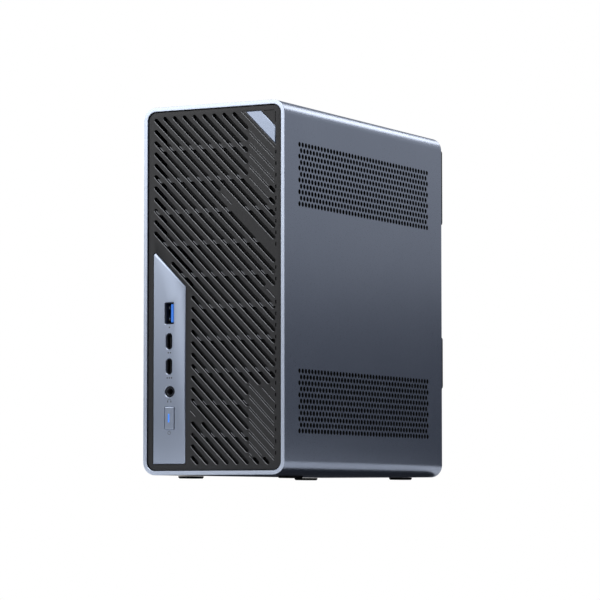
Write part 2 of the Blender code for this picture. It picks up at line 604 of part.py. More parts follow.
def build_rear_ports():
    """Sockets along the motherboard's rear edge, standing through the rear panel."""
    left = BOARD_FACE_X + GAP
    back = SOCKET_BACK
    right, low, high = REAR_SOCKETS["video"]
    solid("rear_video_port", "Y", rect(left, right, low, high), 96.0, back, STEEL,
          rear_steps=[pocket(rect(left + 0.5, right - 0.5, low + 0.5, high - 0.5), 98.0,
                             [pocket(rect(-39.2, -38.2, low + 2.0, high - 2.0), 106.0)])])
    right, low, high = REAR_SOCKETS["type_a"]
    bays = []
    for x in (left + 0.9, left + 8.6):
        bays.append(pocket(rect(x, x + 5.4, low + 0.4, high - 0.4), 97.0,
                           [pocket(rect(x + 3.0, x + 4.8, low + 1.2, high - 1.2), 106.9)]))
    solid("rear_type_a_stack", "Y", rect(left, right, low, high), 90.0, back, STEEL,
          rear_steps=bays)
    right, low, high = REAR_SOCKETS["type_c"]
    x, z = right - 1.6, (low + high) / 2
    solid("rear_type_c_port", "Y", stadium(x, z, 3.2, 9.0), 98.0, back, STEEL,
          rear_steps=[pocket(stadium(x, z, 2.5, 8.3), 101.6,
                             [pocket(rect(x - 0.35, x + 0.35, z - 3.2, z + 3.2), 107.0)])])
    for label in ("upper", "lower"):
        right, low, high = REAR_SOCKETS[f"lan_{label}"]
        mouth = rect(left + 1.8, right - 1.8, low + 2.0, high - 2.0)
        solid(f"rear_lan_port_{label}", "Y", rect(left, right, low, high), 87.0, back, STEEL,
              rear_steps=[pocket(mouth, 95.0)])


def build_thumbscrews():
    """Low knurled heads on the rear panel, shanks through it into the sleeve's tabs."""
    for label, (x, z) in THUMB_SPOTS.items():
        head = PANEL_REAR_Y + GAP
        knurl = [(x + r * math.cos(a), z + r * math.sin(a))
                 for a, r in ((math.pi * k / 16, 3.6 if k % 2 else 3.3) for k in range(32))]
        solid(f"thumbscrew_{label}", "Y", knurl, DEPTH / 2 - 0.05, head, STEEL,
              rear_steps=[pocket(circle(x, z, SHANK_R, 12), 101.0)], origin=(x, head, z))


def build_chassis():
    build_tray()
    before = set(bpy.data.objects)
    build_rear_panel()
    build_rear_trim()
    build_motherboard()
    build_memory()
    build_cooler()
    build_fan("exhaust_fan", "Y", (EXHAUST_X, EXHAUST_Z),
              rounded(EXHAUST_X - 20, EXHAUST_X + 20, EXHAUST_Z - 20, EXHAUST_Z + 20, 3.0),
              (86.0, 106.2), 18.6, 9.0, 7)
    build_cards()
    build_power_supply()
    build_front_ports()
    build_rear_ports()
    build_thumbscrews()
    for obj in set(bpy.data.objects) - before:
        obj.parent = bpy.data.objects["chassis_tray"]


if __name__ == "__main__":
    clear_scene()
    build_sleeve()
    build_feet()
    build_front()
    build_power_button()
    build_duct()
    build_sleeve_tabs()
    build_chassis()
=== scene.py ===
import math

import bmesh
import bpy
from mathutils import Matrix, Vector


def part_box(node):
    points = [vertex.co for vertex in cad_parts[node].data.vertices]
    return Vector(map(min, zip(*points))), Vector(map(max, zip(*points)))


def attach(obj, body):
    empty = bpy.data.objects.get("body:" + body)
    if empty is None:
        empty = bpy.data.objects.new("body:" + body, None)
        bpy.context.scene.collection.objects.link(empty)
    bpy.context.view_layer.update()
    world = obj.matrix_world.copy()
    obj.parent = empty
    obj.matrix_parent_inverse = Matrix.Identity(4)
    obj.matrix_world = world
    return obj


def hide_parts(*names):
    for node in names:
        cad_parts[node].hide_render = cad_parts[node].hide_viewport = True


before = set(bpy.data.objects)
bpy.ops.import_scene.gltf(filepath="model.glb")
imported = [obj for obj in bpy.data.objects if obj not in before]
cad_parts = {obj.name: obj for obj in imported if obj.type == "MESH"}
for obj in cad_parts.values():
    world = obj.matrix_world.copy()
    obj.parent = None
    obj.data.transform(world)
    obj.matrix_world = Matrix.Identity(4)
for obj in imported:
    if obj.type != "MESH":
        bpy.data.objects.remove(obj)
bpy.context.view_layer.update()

# ---------------------------------------------------------------------------------------------
# Outer sleeve: one rectangular aluminium extrusion, its side walls drilled with four fields of
# round holes in staggered rows, then bead-blasted and anodised blue-grey. The front rim is
# milled afterwards; its lighter colour is partly painted highlight.

# Lengths in this script are millimetres; meshes are written in metres.
MM = 0.001


def box(node):
    """A CAD node's lowest and highest corner, in millimetres."""
    low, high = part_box(node)
    return Vector(low) / MM, Vector(high) / MM


def linear(hex_colour):
    """sRGB hex to the linear colour a shader socket takes."""
    parts = [int(hex_colour[i:i + 2], 16) / 255 for i in (1, 3, 5)]
    return [p / 12.92 if p <= 0.04045 else ((p + 0.055) / 1.055) ** 2.4 for p in parts] + [1.0]


def plug(tree, node, **sockets):
    """Give each socket a value, an output or a node's first output; _0 is the first socket."""
    for name, value in sockets.items():
        numbered = name[0] == "_" and name[1:].isdigit()
        socket = node.inputs[int(name[1:])] if numbered else node.inputs[name.replace("_", " ")]
        if isinstance(value, bpy.types.Node):
            tree.links.new(value.outputs[0], socket)
        elif isinstance(value, bpy.types.NodeSocket):
            tree.links.new(value, socket)
        else:
            socket.default_value = value


def add(tree, kind, settings=None, **sockets):
    """Add a node and plug its sockets; settings are its options, or just its operation."""
    node = tree.nodes.new(kind)
    options = {"operation": settings} if isinstance(settings, str) else settings or {}
    for option, value in options.items():
        setattr(node, option, value)
    plug(tree, node, **sockets)
    return node


def new_finish(name):
    """Start a material: its tree, its shader and Object coordinates in metres."""
    material = bpy.data.materials.new(name)
    material.use_nodes = True
    tree = material.node_tree
    return (material, tree, tree.nodes["Principled BSDF"],
            add(tree, "ShaderNodeTexCoord").outputs["Object"])


def grained(name, light, dark, cloud, detail, grain, lay, roughness, spread, contrast, strength,
            depth, **sockets):
    """Two shades in a faint cloud, under a fine grain that shows in gloss and in relief. Lay
    stretches the grain along a direction; spread and contrast set how far the gloss varies."""
    material, tree, shader, place = new_finish(name)
    clouds = add(tree, "ShaderNodeTexNoise", Vector=place, Scale=cloud, Detail=detail)
    tint = add(tree, "ShaderNodeMix", {"data_type": "RGBA"}, Factor=clouds, A=linear(dark),
               B=linear(light))
    run = add(tree, "ShaderNodeMapping", Vector=place, Scale=lay)
    grains = add(tree, "ShaderNodeTexNoise", Vector=run, Scale=1 / (grain * MM), Detail=detail)
    sheen = add(tree, "ShaderNodeMapRange", Value=grains, _1=0.5 - contrast, _2=0.5 + contrast,
                _3=roughness - spread, _4=roughness + spread)
    bump = add(tree, "ShaderNodeBump", Strength=strength, Distance=depth * MM, Height=grains)
    plug(tree, shader, Base_Color=tint.outputs["Result"], Roughness=sheen, Normal=bump, **sockets)
    return material


def blasted_anodised(name, light, dark, roughness, grit=0.3, depth=0.01, metallic=1.0):
    """Anodised aluminium after bead blasting: a soft sheen broken up by shallow round pits.
    The real pits are about 0.1 mm; grit is drawn coarser so that it still shows."""
    return grained(name, light, dark, 18.0, 2.0, grit, (1, 1, 1), roughness, 0.03, 0.2, 0.25,
                   depth, Metallic=metallic)


def arc(u, v, radius, start, end, steps):
    turns = [math.radians(start + (end - start) * i / steps) for i in range(steps + 1)]
    return [(u + radius * math.cos(t), v + radius * math.sin(t)) for t in turns]


def rounded(u0, u1, v0, v1, radius, steps=4):
    """Outline of a rounded rectangle as a function of how far it is grown outwards."""
    def outline(grow=0.0):
        r = max(radius + grow, 0.02)
        a, b, c, d = u0 - grow, u1 + grow, v0 - grow, v1 + grow
        return (arc(b - r, c + r, r, -90, 0, steps) + arc(b - r, d - r, r, 0, 90, steps)
                + arc(a + r, d - r, r, 90, 180, steps) + arc(a + r, c + r, r, 180, 270, steps))
    return outline


def to_space(axis, u, v, w):
    """Outline point and depth to X, Y, Z, for a piece built along that axis."""
    return {"X": (w, u, v), "Y": (u, w, v), "Z": (u, v, w)}[axis]


def ring(bm, axis, loop, level):
    verts = [bm.verts.new(to_space(axis, u, v, level)) for u, v in loop]
    edges = [bm.edges.new((a, b)) for a, b in zip(verts, verts[1:] + verts[:1])]
    return verts, edges


def wall(bm, first, second, open_at=()):
    """Faces between two rings of points, except where it stays open."""
    count = len(first)
    for i in range(count):
        if i not in open_at:
            j = (i + 1) % count
            bm.faces.new((first[i], first[j], second[j], second[i]))


def to_mesh(bm, name="shape"):
    bmesh.ops.recalc_face_normals(bm, faces=bm.faces)
    bmesh.ops.scale(bm, vec=(MM, MM, MM), verts=bm.verts)
    mesh = bpy.data.meshes.new(name)
    bm.to_mesh(mesh)
    bm.free()
    return mesh


def settle(piece, material, replaces=(), body="chassis", sharp=35.0):
    """Shade a piece, give it its finish and tell the frame what it rides on and stands for."""
    piece.data.shade_smooth()
    piece.data.set_sharp_from_angle(angle=math.radians(sharp))
    if material is not None:
        piece.data.materials.clear()
        piece.data.materials.append(material)
    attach(piece, body)
    if replaces:
        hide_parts(*replaces)
    return piece


def refinish(piece, material, rule):
    """Another finish for the faces that a rule picks by their normal and their centre, which is
    in millimetres."""
    piece.data.materials.append(material)
    for face in piece.data.polygons:
        if rule(face.normal, face.center / MM):
            face.material_index = len(piece.data.materials) - 1


def new_tree(name, inputs):
    """Start a geometry tree whose inputs are given as name: (socket kind, default)."""
    tree = bpy.data.node_groups.new(name, "GeometryNodeTree")
    tree.interface.new_socket("Geometry", in_out="INPUT", socket_type="NodeSocketGeometry")
    tree.interface.new_socket("Geometry", in_out="OUTPUT", socket_type="NodeSocketGeometry")
    for label, (kind, default) in inputs.items():
        socket = tree.interface.new_socket(label, in_out="INPUT", socket_type=f"NodeSocket{kind}")
        if default is not None:
            socket.default_value = default
    return tree, tree.nodes.new("NodeGroupInput").outputs


def end_tree(tree, geometry, material):
    """End a geometry tree: its copies become real and take their material."""
    solid = add(tree, "GeometryNodeRealizeInstances", Geometry=geometry)
    done = add(tree, "GeometryNodeSetMaterial", Geometry=solid, Material=material)
    add(tree, "NodeGroupOutput", Geometry=done)
    return tree


def run_nodes(name, tree, base, values):
    """Run a geometry tree on a mesh and keep its result as a plain mesh."""
    host = bpy.data.objects.new(name, base)
    bpy.context.collection.objects.link(host)
    modifier = host.modifiers.new(name, "NODES")
    modifier.node_group = tree
    sockets = {s.name: s.identifier for s in tree.interface.items_tree if s.in_out == "INPUT"}
    for label, value in values.items():
        modifier[sockets[label]] = value
    graph = bpy.context.evaluated_depsgraph_get()
    mesh = bpy.data.meshes.new_from_object(host.evaluated_get(graph))
    host.modifiers.remove(modifier)
    host.data = mesh
    return host


def side_wall_tree():
    """Both side walls: a flat sheet with two fields of holes, hole barrels and inner face."""
    tree, pick = new_tree("drilled_side_walls", {
        "Length": ("Float", 0.2), "Height": ("Float", 0.2), "Middle": ("Vector", (0, 0, 0)),
        "Wall": ("Float", 0.0025), "Outside": ("Float", 0.0485),
        "Hole Radius": ("Float", 0.0014), "Pitch": ("Float", 0.004), "Row Pitch": ("Float", 0.0035),
        "Holes in Row": ("Int", 44), "Rows": ("Int", 11),
        "Upper Start": ("Vector", (0, 0, 0)), "Lower Start": ("Vector", (0, 0, 0)),
        "Hole Sides": ("Int", 12), "Material": ("Material", None)})
    index = add(tree, "GeometryNodeInputIndex")
    count = add(tree, "ShaderNodeMath", "MULTIPLY", _0=pick["Holes in Row"],
                _1=pick["Rows"])
    row = add(tree, "ShaderNodeMath", "FLOOR",
              _0=add(tree, "ShaderNodeMath", "DIVIDE", _0=index,
                     _1=pick["Holes in Row"]))
    column = add(tree, "ShaderNodeMath", "FLOORED_MODULO", _0=index,
                 _1=pick["Holes in Row"])
    odd = add(tree, "ShaderNodeMath", "FLOORED_MODULO", _0=row, _1=2.0)
    shifted = add(tree, "ShaderNodeMath", "MULTIPLY_ADD", _0=odd, _1=0.5, _2=column)
    along = add(tree, "ShaderNodeMath", "MULTIPLY", _0=shifted, _1=pick["Pitch"])
    down = add(tree, "ShaderNodeMath", "MULTIPLY", _0=row, _1=pick["Row Pitch"])
    drop = add(tree, "ShaderNodeMath", "MULTIPLY", _0=down, _1=-1.0)
    spot = add(tree, "ShaderNodeCombineXYZ", X=along, Y=drop)
    last = add(tree, "ShaderNodeMath", "SUBTRACT", _0=pick["Holes in Row"], _1=1.0)
    at_end = add(tree, "FunctionNodeCompare", {"data_type": "FLOAT", "operation": "GREATER_EQUAL"},
                 A=column, B=last)
    in_odd = add(tree, "FunctionNodeCompare", {"data_type": "FLOAT", "operation": "GREATER_THAN"},
                 A=odd, B=0.5)
    spare = add(tree, "FunctionNodeBooleanMath", "AND", _0=at_end, _1=in_odd)
    field = add(tree, "GeometryNodePoints", Count=count, Position=spot)
    kept = add(tree, "GeometryNodeDeleteGeometry", Geometry=field, Selection=spare)
    both = add(tree, "GeometryNodeJoinGeometry")
    for start in ("Upper Start", "Lower Start"):
        plug(tree, both, Geometry=add(tree, "GeometryNodeTransform", Geometry=kept,
                                      Translation=pick[start]))
    circle = add(tree, "GeometryNodeCurvePrimitiveCircle", Resolution=pick["Hole Sides"],
                 Radius=pick["Hole Radius"])
    rims = add(tree, "GeometryNodeRealizeInstances",
               Geometry=add(tree, "GeometryNodeInstanceOnPoints", Points=both, Instance=circle))
    edge = add(tree, "GeometryNodeTransform", Translation=pick["Middle"],
               Geometry=add(tree, "GeometryNodeCurvePrimitiveQuadrilateral",
                            Width=pick["Length"], Height=pick["Height"]))
    outline = add(tree, "GeometryNodeJoinGeometry", Geometry=rims)
    plug(tree, outline, Geometry=edge)
    sheet = add(tree, "GeometryNodeFillCurve", Curve=outline)
    lift = add(tree, "ShaderNodeCombineXYZ", Z=pick["Wall"])
    outer = add(tree, "GeometryNodeTransform", Geometry=sheet, Translation=lift)
    inner = add(tree, "GeometryNodeFlipFaces", Mesh=sheet)
    tube = add(tree, "GeometryNodeMeshCylinder", {"fill_type": "NONE"}, Vertices=pick["Hole Sides"],
               Radius=pick["Hole Radius"], Depth=pick["Wall"])
    half = add(tree, "ShaderNodeVectorMath", "SCALE", _0=lift, Scale=0.5)
    seated = add(tree, "GeometryNodeTransform", Geometry=tube, Translation=half)
    barrels = add(tree, "GeometryNodeFlipFaces", Mesh=add(
        tree, "GeometryNodeRealizeInstances",
        Geometry=add(tree, "GeometryNodeInstanceOnPoints", Points=both, Instance=seated)))
    panel = add(tree, "GeometryNodeJoinGeometry")
    for part in (outer, inner, barrels):
        plug(tree, panel, Geometry=part)
    inside = add(tree, "ShaderNodeMath", "SUBTRACT", _0=pick["Outside"],
                 _1=pick["Wall"])
    right = add(tree, "GeometryNodeTransform", Geometry=panel,
                Rotation=(math.pi / 2, 0, math.pi / 2),
                Translation=add(tree, "ShaderNodeCombineXYZ", X=inside))
    left = add(tree, "GeometryNodeFlipFaces", Mesh=add(
        tree, "GeometryNodeTransform", Geometry=right, Scale=(-1, 1, 1)))
    whole = add(tree, "GeometryNodeJoinGeometry")
    for part in (right, left, pick["Geometry"]):
        plug(tree, whole, Geometry=part)
    merged = add(tree, "GeometryNodeMergeByDistance", Geometry=whole, Distance=2e-6)
    return end_tree(tree, merged, pick["Material"])


sleeve_low, sleeve_high = box("outer_sleeve")
sleeve_wall, corner_radius, front_break, rear_break = 2.5, 8.0, 0.25, 0.5
inner_front_break, inner_rear_break = 0.25, 0.4
flat_margin = 0.5   # narrow flat strip beside each round corner, so that the shading stays true
wall_front = sleeve_low.y + front_break + flat_margin
wall_rear = sleeve_high.y - rear_break - flat_margin
wall_low = sleeve_low.z + corner_radius + flat_margin
wall_high = sleeve_high.z - corner_radius - flat_margin


def sleeve_shell():
    """Top, base, corners and both end rims; the flat of each side wall is left open."""
    front, rear = sleeve_low.y, sleeve_high.y
    sections = [(front_break * (1 - math.sin(t)), front + front_break * (1 - math.cos(t)))
                for t in (0.0, math.pi / 6, math.pi / 3, math.pi / 2)]
    sections += [(0.0, wall_front), (0.0, wall_rear), (0.0, rear - rear_break),
                 (0.15, rear - 0.15), (rear_break, rear), (sleeve_wall - inner_rear_break, rear),
                 (sleeve_wall, rear - inner_rear_break), (sleeve_wall, wall_rear),
                 (sleeve_wall, wall_front), (sleeve_wall, front + inner_front_break),
                 (sleeve_wall - inner_front_break, front)]
    bm = bmesh.new()
    rings = []
    for inset, y in sections:
        a, b = sleeve_low.x + inset, sleeve_high.x - inset
        c, d = sleeve_low.z + inset, sleeve_high.z - inset
        r, m = corner_radius - inset, flat_margin
        flats = ([(b, c + r + m), (b, d - r - m)], [(b - r - m, d), (a + r + m, d)],
                 [(a, d - r - m), (a, c + r + m)], [(a + r + m, c), (b - r - m, c)])
        corners = (arc(b - r, d - r, r, 0, 90, 9), arc(a + r, d - r, r, 90, 180, 9),
                   arc(a + r, c + r, r, 180, 270, 9), arc(b - r, c + r, r, 270, 360, 9))
        loop = [p for flat, corner in zip(flats, corners) for p in flat + corner]
        rings.append(ring(bm, "Y", loop, y)[0])
    flat_sides = (0, len(rings[0]) // 2)
    walls = [(wall_front, wall_rear), (wall_rear, wall_front)]
    for s, (first, second) in enumerate(zip(rings, rings[1:] + rings[:1])):
        levels = (sections[s][1], sections[(s + 1) % len(sections)][1])
        wall(bm, first, second, flat_sides if levels in walls else ())
    return to_mesh(bm, "sleeve_shell")


anodised_sleeve = blasted_anodised("bead_blasted_anodised_sleeve", "#A6AFC0", "#9CA5B7", 0.30,
                                   0.35, 0.012)
hole_radius, hole_pitch, row_pitch, holes_in_row, hole_rows = 1.56, 4.133, 3.579, 44, 11
hole_start = sleeve_low.y + 19.13
upper_row, lower_row = sleeve_high.z - 25.3, sleeve_low.z + 61.95
sleeve = run_nodes("perforated_sleeve", side_wall_tree(), sleeve_shell(), {
    "Length": (wall_rear - wall_front) * MM, "Height": (wall_high - wall_low) * MM,
    "Middle": ((wall_front + wall_rear) / 2 * MM, (wall_low + wall_high) / 2 * MM, 0.0),
    "Wall": sleeve_wall * MM, "Outside": sleeve_high.x * MM, "Hole Radius": hole_radius * MM,
    "Pitch": hole_pitch * MM, "Row Pitch": row_pitch * MM,
    "Holes in Row": holes_in_row, "Rows": hole_rows,
    "Upper Start": (hole_start * MM, upper_row * MM, 0.0),
    "Lower Start": (hole_start * MM, lower_row * MM, 0.0),
    "Hole Sides": 12, "Material": anodised_sleeve})
# The front rim's light colour is partly a painted highlight on the milled rim.
refinish(sleeve, blasted_anodised("milled_rim_partly_painted_highlight", "#D3DCEC", "#CAD4E6", 0.42, 0.3,
                                  0.006, 0.7),
         lambda normal, at: normal.y < -0.4 and at.y < sleeve_low.y + 0.5)
# Drilled walls aren't blasted; they are coloured near black, which is painted shade inside the
# holes.
refinish(sleeve, blasted_anodised("anodised_hole_wall_painted_shade", "#0E0F11", "#090A0B", 0.6, 0.3,
                                  0.004, 0.2),
         lambda normal, at: abs(normal.x) < 0.5 and wall_front + 1 < at.y < wall_rear - 1
         and wall_low + 1 < at.z < wall_high - 1)
settle(sleeve, None, ["outer_sleeve"], "housing", 25.0)

# ---------------------------------------------------------------------------------------------
# Front grille: one injection moulding in charcoal ABS, cut through by 45-degree slots with
# broken edges. Thin sunk cross bars tie the ribs together behind the slots; closed slots are
# marked only by fine engraved lines. It clips into the sleeve with a narrow shadow gap.


def moulded(name, light, dark, roughness, grain=0.3, depth=0.01, gloss=0.5):
    """Moulded or coated surface: spark-eroded grain of the tool, with slight cloudiness.
    Real grain is 0.05 to 0.15 mm; it is drawn a few times coarser so that it shows."""
    return grained(name, light, dark, 30.0, 3.0, grain, (1, 1, 1), roughness, 0.06, 0.2, 0.5,
                   depth, Specular_IOR_Level=gloss)


def plate(axis, rims, cuts=(), bm=None):
    """Plate through the rims given from front to back as (outline, level). Each cut is such a
    list too: it goes right through if it ends on the last rim's level, else it has a floor."""
    bm = bm or bmesh.new()
    ends = {rims[0][1]: [], rims[-1][1]: []}
    for steps in [rims, *cuts]:
        loops = [ring(bm, axis, outline, level) for outline, level in steps]
        for first, second in zip(loops, loops[1:]):
            wall(bm, first[0], second[0])
        ends[steps[0][1]].append(loops[0])
        if steps[-1][1] in ends:
            ends[steps[-1][1]].append(loops[-1])
        else:
            bmesh.ops.triangle_fill(bm, use_beauty=True, use_dissolve=False, edges=loops[-1][1])
    for loops in ends.values():
        edges = [edge for loop in loops for edge in loop[1]]
        bmesh.ops.triangle_fill(bm, use_beauty=True, use_dissolve=False, edges=edges)
    return bm


def slab(axis, outline, face, back, inset, drop=None, cuts=(), bm=None):
    """Plate whose face has a chamfer: inset wide, and as deep unless a drop is given."""
    step = math.copysign(inset if drop is None else drop, back - face)
    return plate(axis, [(outline(-inset), face), (outline(), face + step), (outline(), back)],
                 cuts, bm)


def bored(outline, face, back, grow=0.3, drop=None):
    """A cut whose mouth has a small chamfer."""
    step = math.copysign(grow if drop is None else drop, back - face)
    return [(outline(grow), face), (outline(), face + step), (outline(), back)]


def slanted(line, start, end, half):
    """Outline of a 45-degree slot on the line X + Z with round ends."""
    return arc(end, line - end, half, -135, 45, 4) + arc(start, line - start, half, 45, 225, 4)


def copies_tree():
    """Copies of the given shape, each moved and turned by one more step than the last."""
    tree, pick = new_tree("stepped_copies", {
        "Count": ("Int", 2), "Start": ("Vector", (0, 0, 0)), "Step": ("Vector", (0, 0, 0)),
        "Turn Step": ("Vector", (0, 0, 0)), "Material": ("Material", None)})
    index = add(tree, "GeometryNodeInputIndex")
    run = add(tree, "ShaderNodeVectorMath", "SCALE", _0=pick["Step"], Scale=index)
    place = add(tree, "ShaderNodeVectorMath", "ADD", _0=run, _1=pick["Start"])
    turn = add(tree, "ShaderNodeVectorMath", "SCALE", _0=pick["Turn Step"],
               Scale=index)
    spots = add(tree, "GeometryNodePoints", Count=pick["Count"], Position=place)
    many = add(tree, "GeometryNodeInstanceOnPoints", Points=spots, Instance=pick["Geometry"],
               Rotation=turn)
    return end_tree(tree, many, pick["Material"])


stepped_copies = copies_tree()


def repeat(name, bm, count, start, step, material, replaces=(), body="chassis",
           turn=(0, 0, 0), sharp=35.0):
    """A shape repeated along a line or round an axis, as one piece."""
    piece = run_nodes(name, stepped_copies, to_mesh(bm), {
        "Count": count, "Start": Vector(start) * MM, "Step": Vector(step) * MM,
        "Turn Step": Vector([math.radians(a) for a in turn]), "Material": material})
    settle(piece, None, replaces, body, sharp)


def make_piece(name, bm, material, replaces=(), body="chassis", sharp=35.0):
    """Turn the mesh into a finished piece on its body, with smooth round faces."""
    piece = bpy.data.objects.new(name, to_mesh(bm, name))
    bpy.context.collection.objects.link(piece)
    return settle(piece, material, replaces, body, sharp)


charcoal_abs = moulded("spark_eroded_charcoal_abs", "#2F2F30", "#2A2A2B", 0.5, 0.45, 0.02, 0.32)
grille_low, grille_high = box("front_grille")
face_y, back_y = grille_low.y, grille_high.y
slot_pitch, first_line, half_slot, broken_edge = 6.885, 176.8, 1.2, 0.27
slot_numbers = range(-26, 9)
field_left, field_right, field_top, field_bottom, inner_left = -40.5, 40.9, 218.1, 9.1, -14.4
groove_left, groove_right, dash_left, dash_right = 24.4, 41.2, 41.9, 42.7
late_starts = {-11: -28.5, -22: -7.2}
early_ends = {0: 3.6, -4: 34.3, -12: 37.4, -13: 31.1}
early_ends.update({k: 22.4 for k in range(4, 9)})
early_ends.update({k: 22.9 for k in range(-20, -13)})
stubs = (5, 4, -19, -20)
no_dash = (-1, -4)


def slot_line(k):
    """Where X + Z lies on slot k's middle line."""
    return first_line + k * slot_pitch


def slot_span(k):
    """Where slot k starts and ends in X, and where it would end without a closed stretch."""
    line = slot_line(k)
    last = min(field_right, line - field_bottom)
    start = late_starts.get(k, max(inner_left if k <= -12 else field_left, line - field_top))
    return start, early_ends.get(k, last), last


def slot_cuts():
    cuts = []
    for k in slot_numbers:
        start, end, last = slot_span(k)
        line = slot_line(k)
        for a, b in [(start, end)] + ([(last - 2.2, last)] if k in stubs else []):
            cuts.append([(slanted(line - 0.7 * broken_edge, a - 0.35 * broken_edge,
                                  b - 0.35 * broken_edge, half_slot + broken_edge / 2), face_y),
                         (slanted(line, a, b, half_slot), face_y + broken_edge),
                         (slanted(line, a, b, half_slot), back_y)])
    return cuts


def engraved(line, start, end, width, bank=0.22, depth=0.7):
    """Fine groove along a 45-degree line: a sloping lower bank that catches the light, then a
    drop to its dark floor."""
    d, b = width / 2 * math.sqrt(0.5), bank * math.sqrt(0.5)
    top = [(start - d, line - start - d), (end - d, line - end - d),
           (end + d, line - end + d), (start + d, line - start + d)]
    floor = [(u + b, w + b) if i < 2 else (u - 0.01, w - 0.01) for i, (u, w) in enumerate(top)]
    return [(top, face_y), (floor, face_y + 0.2), (floor, face_y + depth)]


def engraved_cuts():
    """Pairs of grooves over the two closed fields, single ones, corner lines and dashes."""
    cuts = []
    for k in [*range(5, 9), *range(-20, -13)]:
        line, end = slot_line(k), groove_right if k != 5 else 37.3
        end = min(end, line - 8.8) if k > -19 else line - field_bottom - 3.9
        cuts += [engraved(line - 1.45, groove_left, end, 0.6),
                 engraved(line + 0.15, groove_left, end, 0.3, 0.2)]
    for k, start, end in ((9, 18.6, 41.6), (4, groove_left, 37.4), (0, 5.4, 12.4),
                          (-4, 36.2, 41.8), (-12, 39.4, 41.8), (-13, 33.1, 41.8),
                          (-22, -16.0, -12.4)):
        cuts.append(engraved(slot_line(k) - 0.7, start, end, 0.8))
    for corner_line in (rounded(34.0, 41.0, 218.7, 219.0, 0.1, 1),
                        rounded(41.7, 42.0, 211.5, 218.0, 0.1, 1)):
        cuts.append(bored(corner_line, face_y, face_y + 0.5, 0.12))
    for k in range(-18, 9):
        if k not in no_dash:
            z = slot_line(k) - 38.2
            dash = rounded(dash_left, dash_right, z - 1.1, z + 1.1, 0.25, 2)()
            cuts.append([(dash, face_y), (dash, face_y + 0.9)])
    return cuts


seat_left, seat_right, seat_bottom, seat_top, seat_shoulder = -41.8, -19.6, 8.6, 136.0, 115.2
badge_top, badge_right, badge_lower_line, badge_upper_line = 218.9, 41.9, 240.7, 250.9
diagonal = 1.414   # of a unit square


def port_plate_outline(grow=0.0):
    """Upright plate with a 45-degree shoulder and two corners cut off a little."""
    left, right, low, high = (seat_left - grow, seat_right + grow, seat_bottom - grow,
                              seat_top + grow)
    shoulder = seat_shoulder + diagonal * grow
    return [(left, low), (right - 0.8, low), (right, low + 0.8), (right, shoulder),
            (right - (high - shoulder), high), (left + 0.6, high), (left, high - 0.6)]


def badge_outline(grow=0.0):
    """Slanted badge between two 45-degree lines on X + Z, cut off at its top and right."""
    top, right = badge_top + grow, badge_right + grow
    lower, upper = badge_lower_line - diagonal * grow, badge_upper_line + diagonal * grow
    return [(lower - top, top), (right, lower - right), (right, upper - right),
            (upper - top, top)]


seat_gap = 0.3   # round the port plate and the badge
grille_edge = rounded(grille_low.x, grille_high.x, grille_low.z, grille_high.z, 5.0, 8)
grille_rims = [(grille_edge(-0.3), face_y), (grille_edge(-0.09), face_y + 0.09),
               (grille_edge(), face_y + 0.3), (grille_edge(), back_y)]
seat_cuts = [[(port_plate_outline(seat_gap + 0.2), face_y),
              (port_plate_outline(seat_gap), face_y + 0.2),
              (port_plate_outline(seat_gap), back_y)],
             [(badge_outline(seat_gap + 0.15), face_y), (badge_outline(seat_gap), face_y + 0.15),
              (badge_outline(seat_gap), face_y + 0.9)]]
grille_mesh = plate("Y", grille_rims, slot_cuts() + engraved_cuts() + seat_cuts)
grille = make_piece("slotted_grille", grille_mesh, charcoal_abs,
                    ["front_grille"], "housing")
# The upper bank of every slot and groove is smoother and light grey: painted highlight on the
# edges. The walls of the slots are rough and near black: painted shade inside the slots.
painted_highlight_edge = moulded("abs_edge_painted_highlight", "#77797E", "#6E7075", 0.3, 0.5, 0.004)
refinish(grille, painted_highlight_edge, lambda normal, at: normal.x > 0.28 and normal.z > 0.28
         and -0.95 < normal.y < -0.3)
# Near-black slot walls: painted shade inside the slots.
painted_shade_wall = moulded("abs_slot_wall_painted_shade", "#101011", "#0B0B0C", 0.8, 0.5, 0.02, 0.2)
refinish(grille, painted_shade_wall, lambda normal, at: abs(normal.y) < 0.1
         and grille_low.x + 1 < at.x < grille_high.x - 1)

bar_top, bar_pitch, bar_height, bar_sink = 199.4, 19.3, 2.5, 2.1
for field, left, first in (("upper", field_left - 1.0, 0), ("lower", inner_left - 1.5, 5)):
    edge = rounded(left, field_right + 1.0, -bar_height / 2, bar_height / 2, 0.3, 1)
    repeat(f"{field}_cross_bars", slab("Y", edge, face_y + bar_sink, back_y - 0.1, 0.3), 5,
           (0, 0, bar_top - first * bar_pitch), (0, 0, -bar_pitch), charcoal_abs,
           body="housing")


def on_spots_tree():
    """One shape set on every vertex of the given mesh."""
    tree, pick = new_tree("shape_on_spots", {
        "Shape": ("Object", None), "Material": ("Material", None)})
    shape = add(tree, "GeometryNodeObjectInfo", Object=pick["Shape"])
    many = add(tree, "GeometryNodeInstanceOnPoints", Points=pick["Geometry"],
               Instance=shape.outputs["Geometry"])
    return end_tree(tree, many, pick["Material"])


shape_on_spots = on_spots_tree()


def with_shape(name, tree, base, bm, values, material, body="chassis"):
    """Run a tree that sets a helper shape on a base mesh; the helper is removed afterwards."""
    shape = bpy.data.objects.new(name + "_shape", to_mesh(bm))
    bpy.context.collection.objects.link(shape)
    piece = run_nodes(name, tree, base, {"Shape": shape, "Material": material, **values})
    bpy.data.objects.remove(shape)
    settle(piece, None, (), body)


def set_on(name, spots, bm, material, body="chassis"):
    """The shape set on every spot, as one piece."""
    base = bpy.data.meshes.new(name)
    base.from_pydata([Vector(spot) * MM for spot in spots], [], [])
    with_shape(name, shape_on_spots, base, bm, {}, material, body)


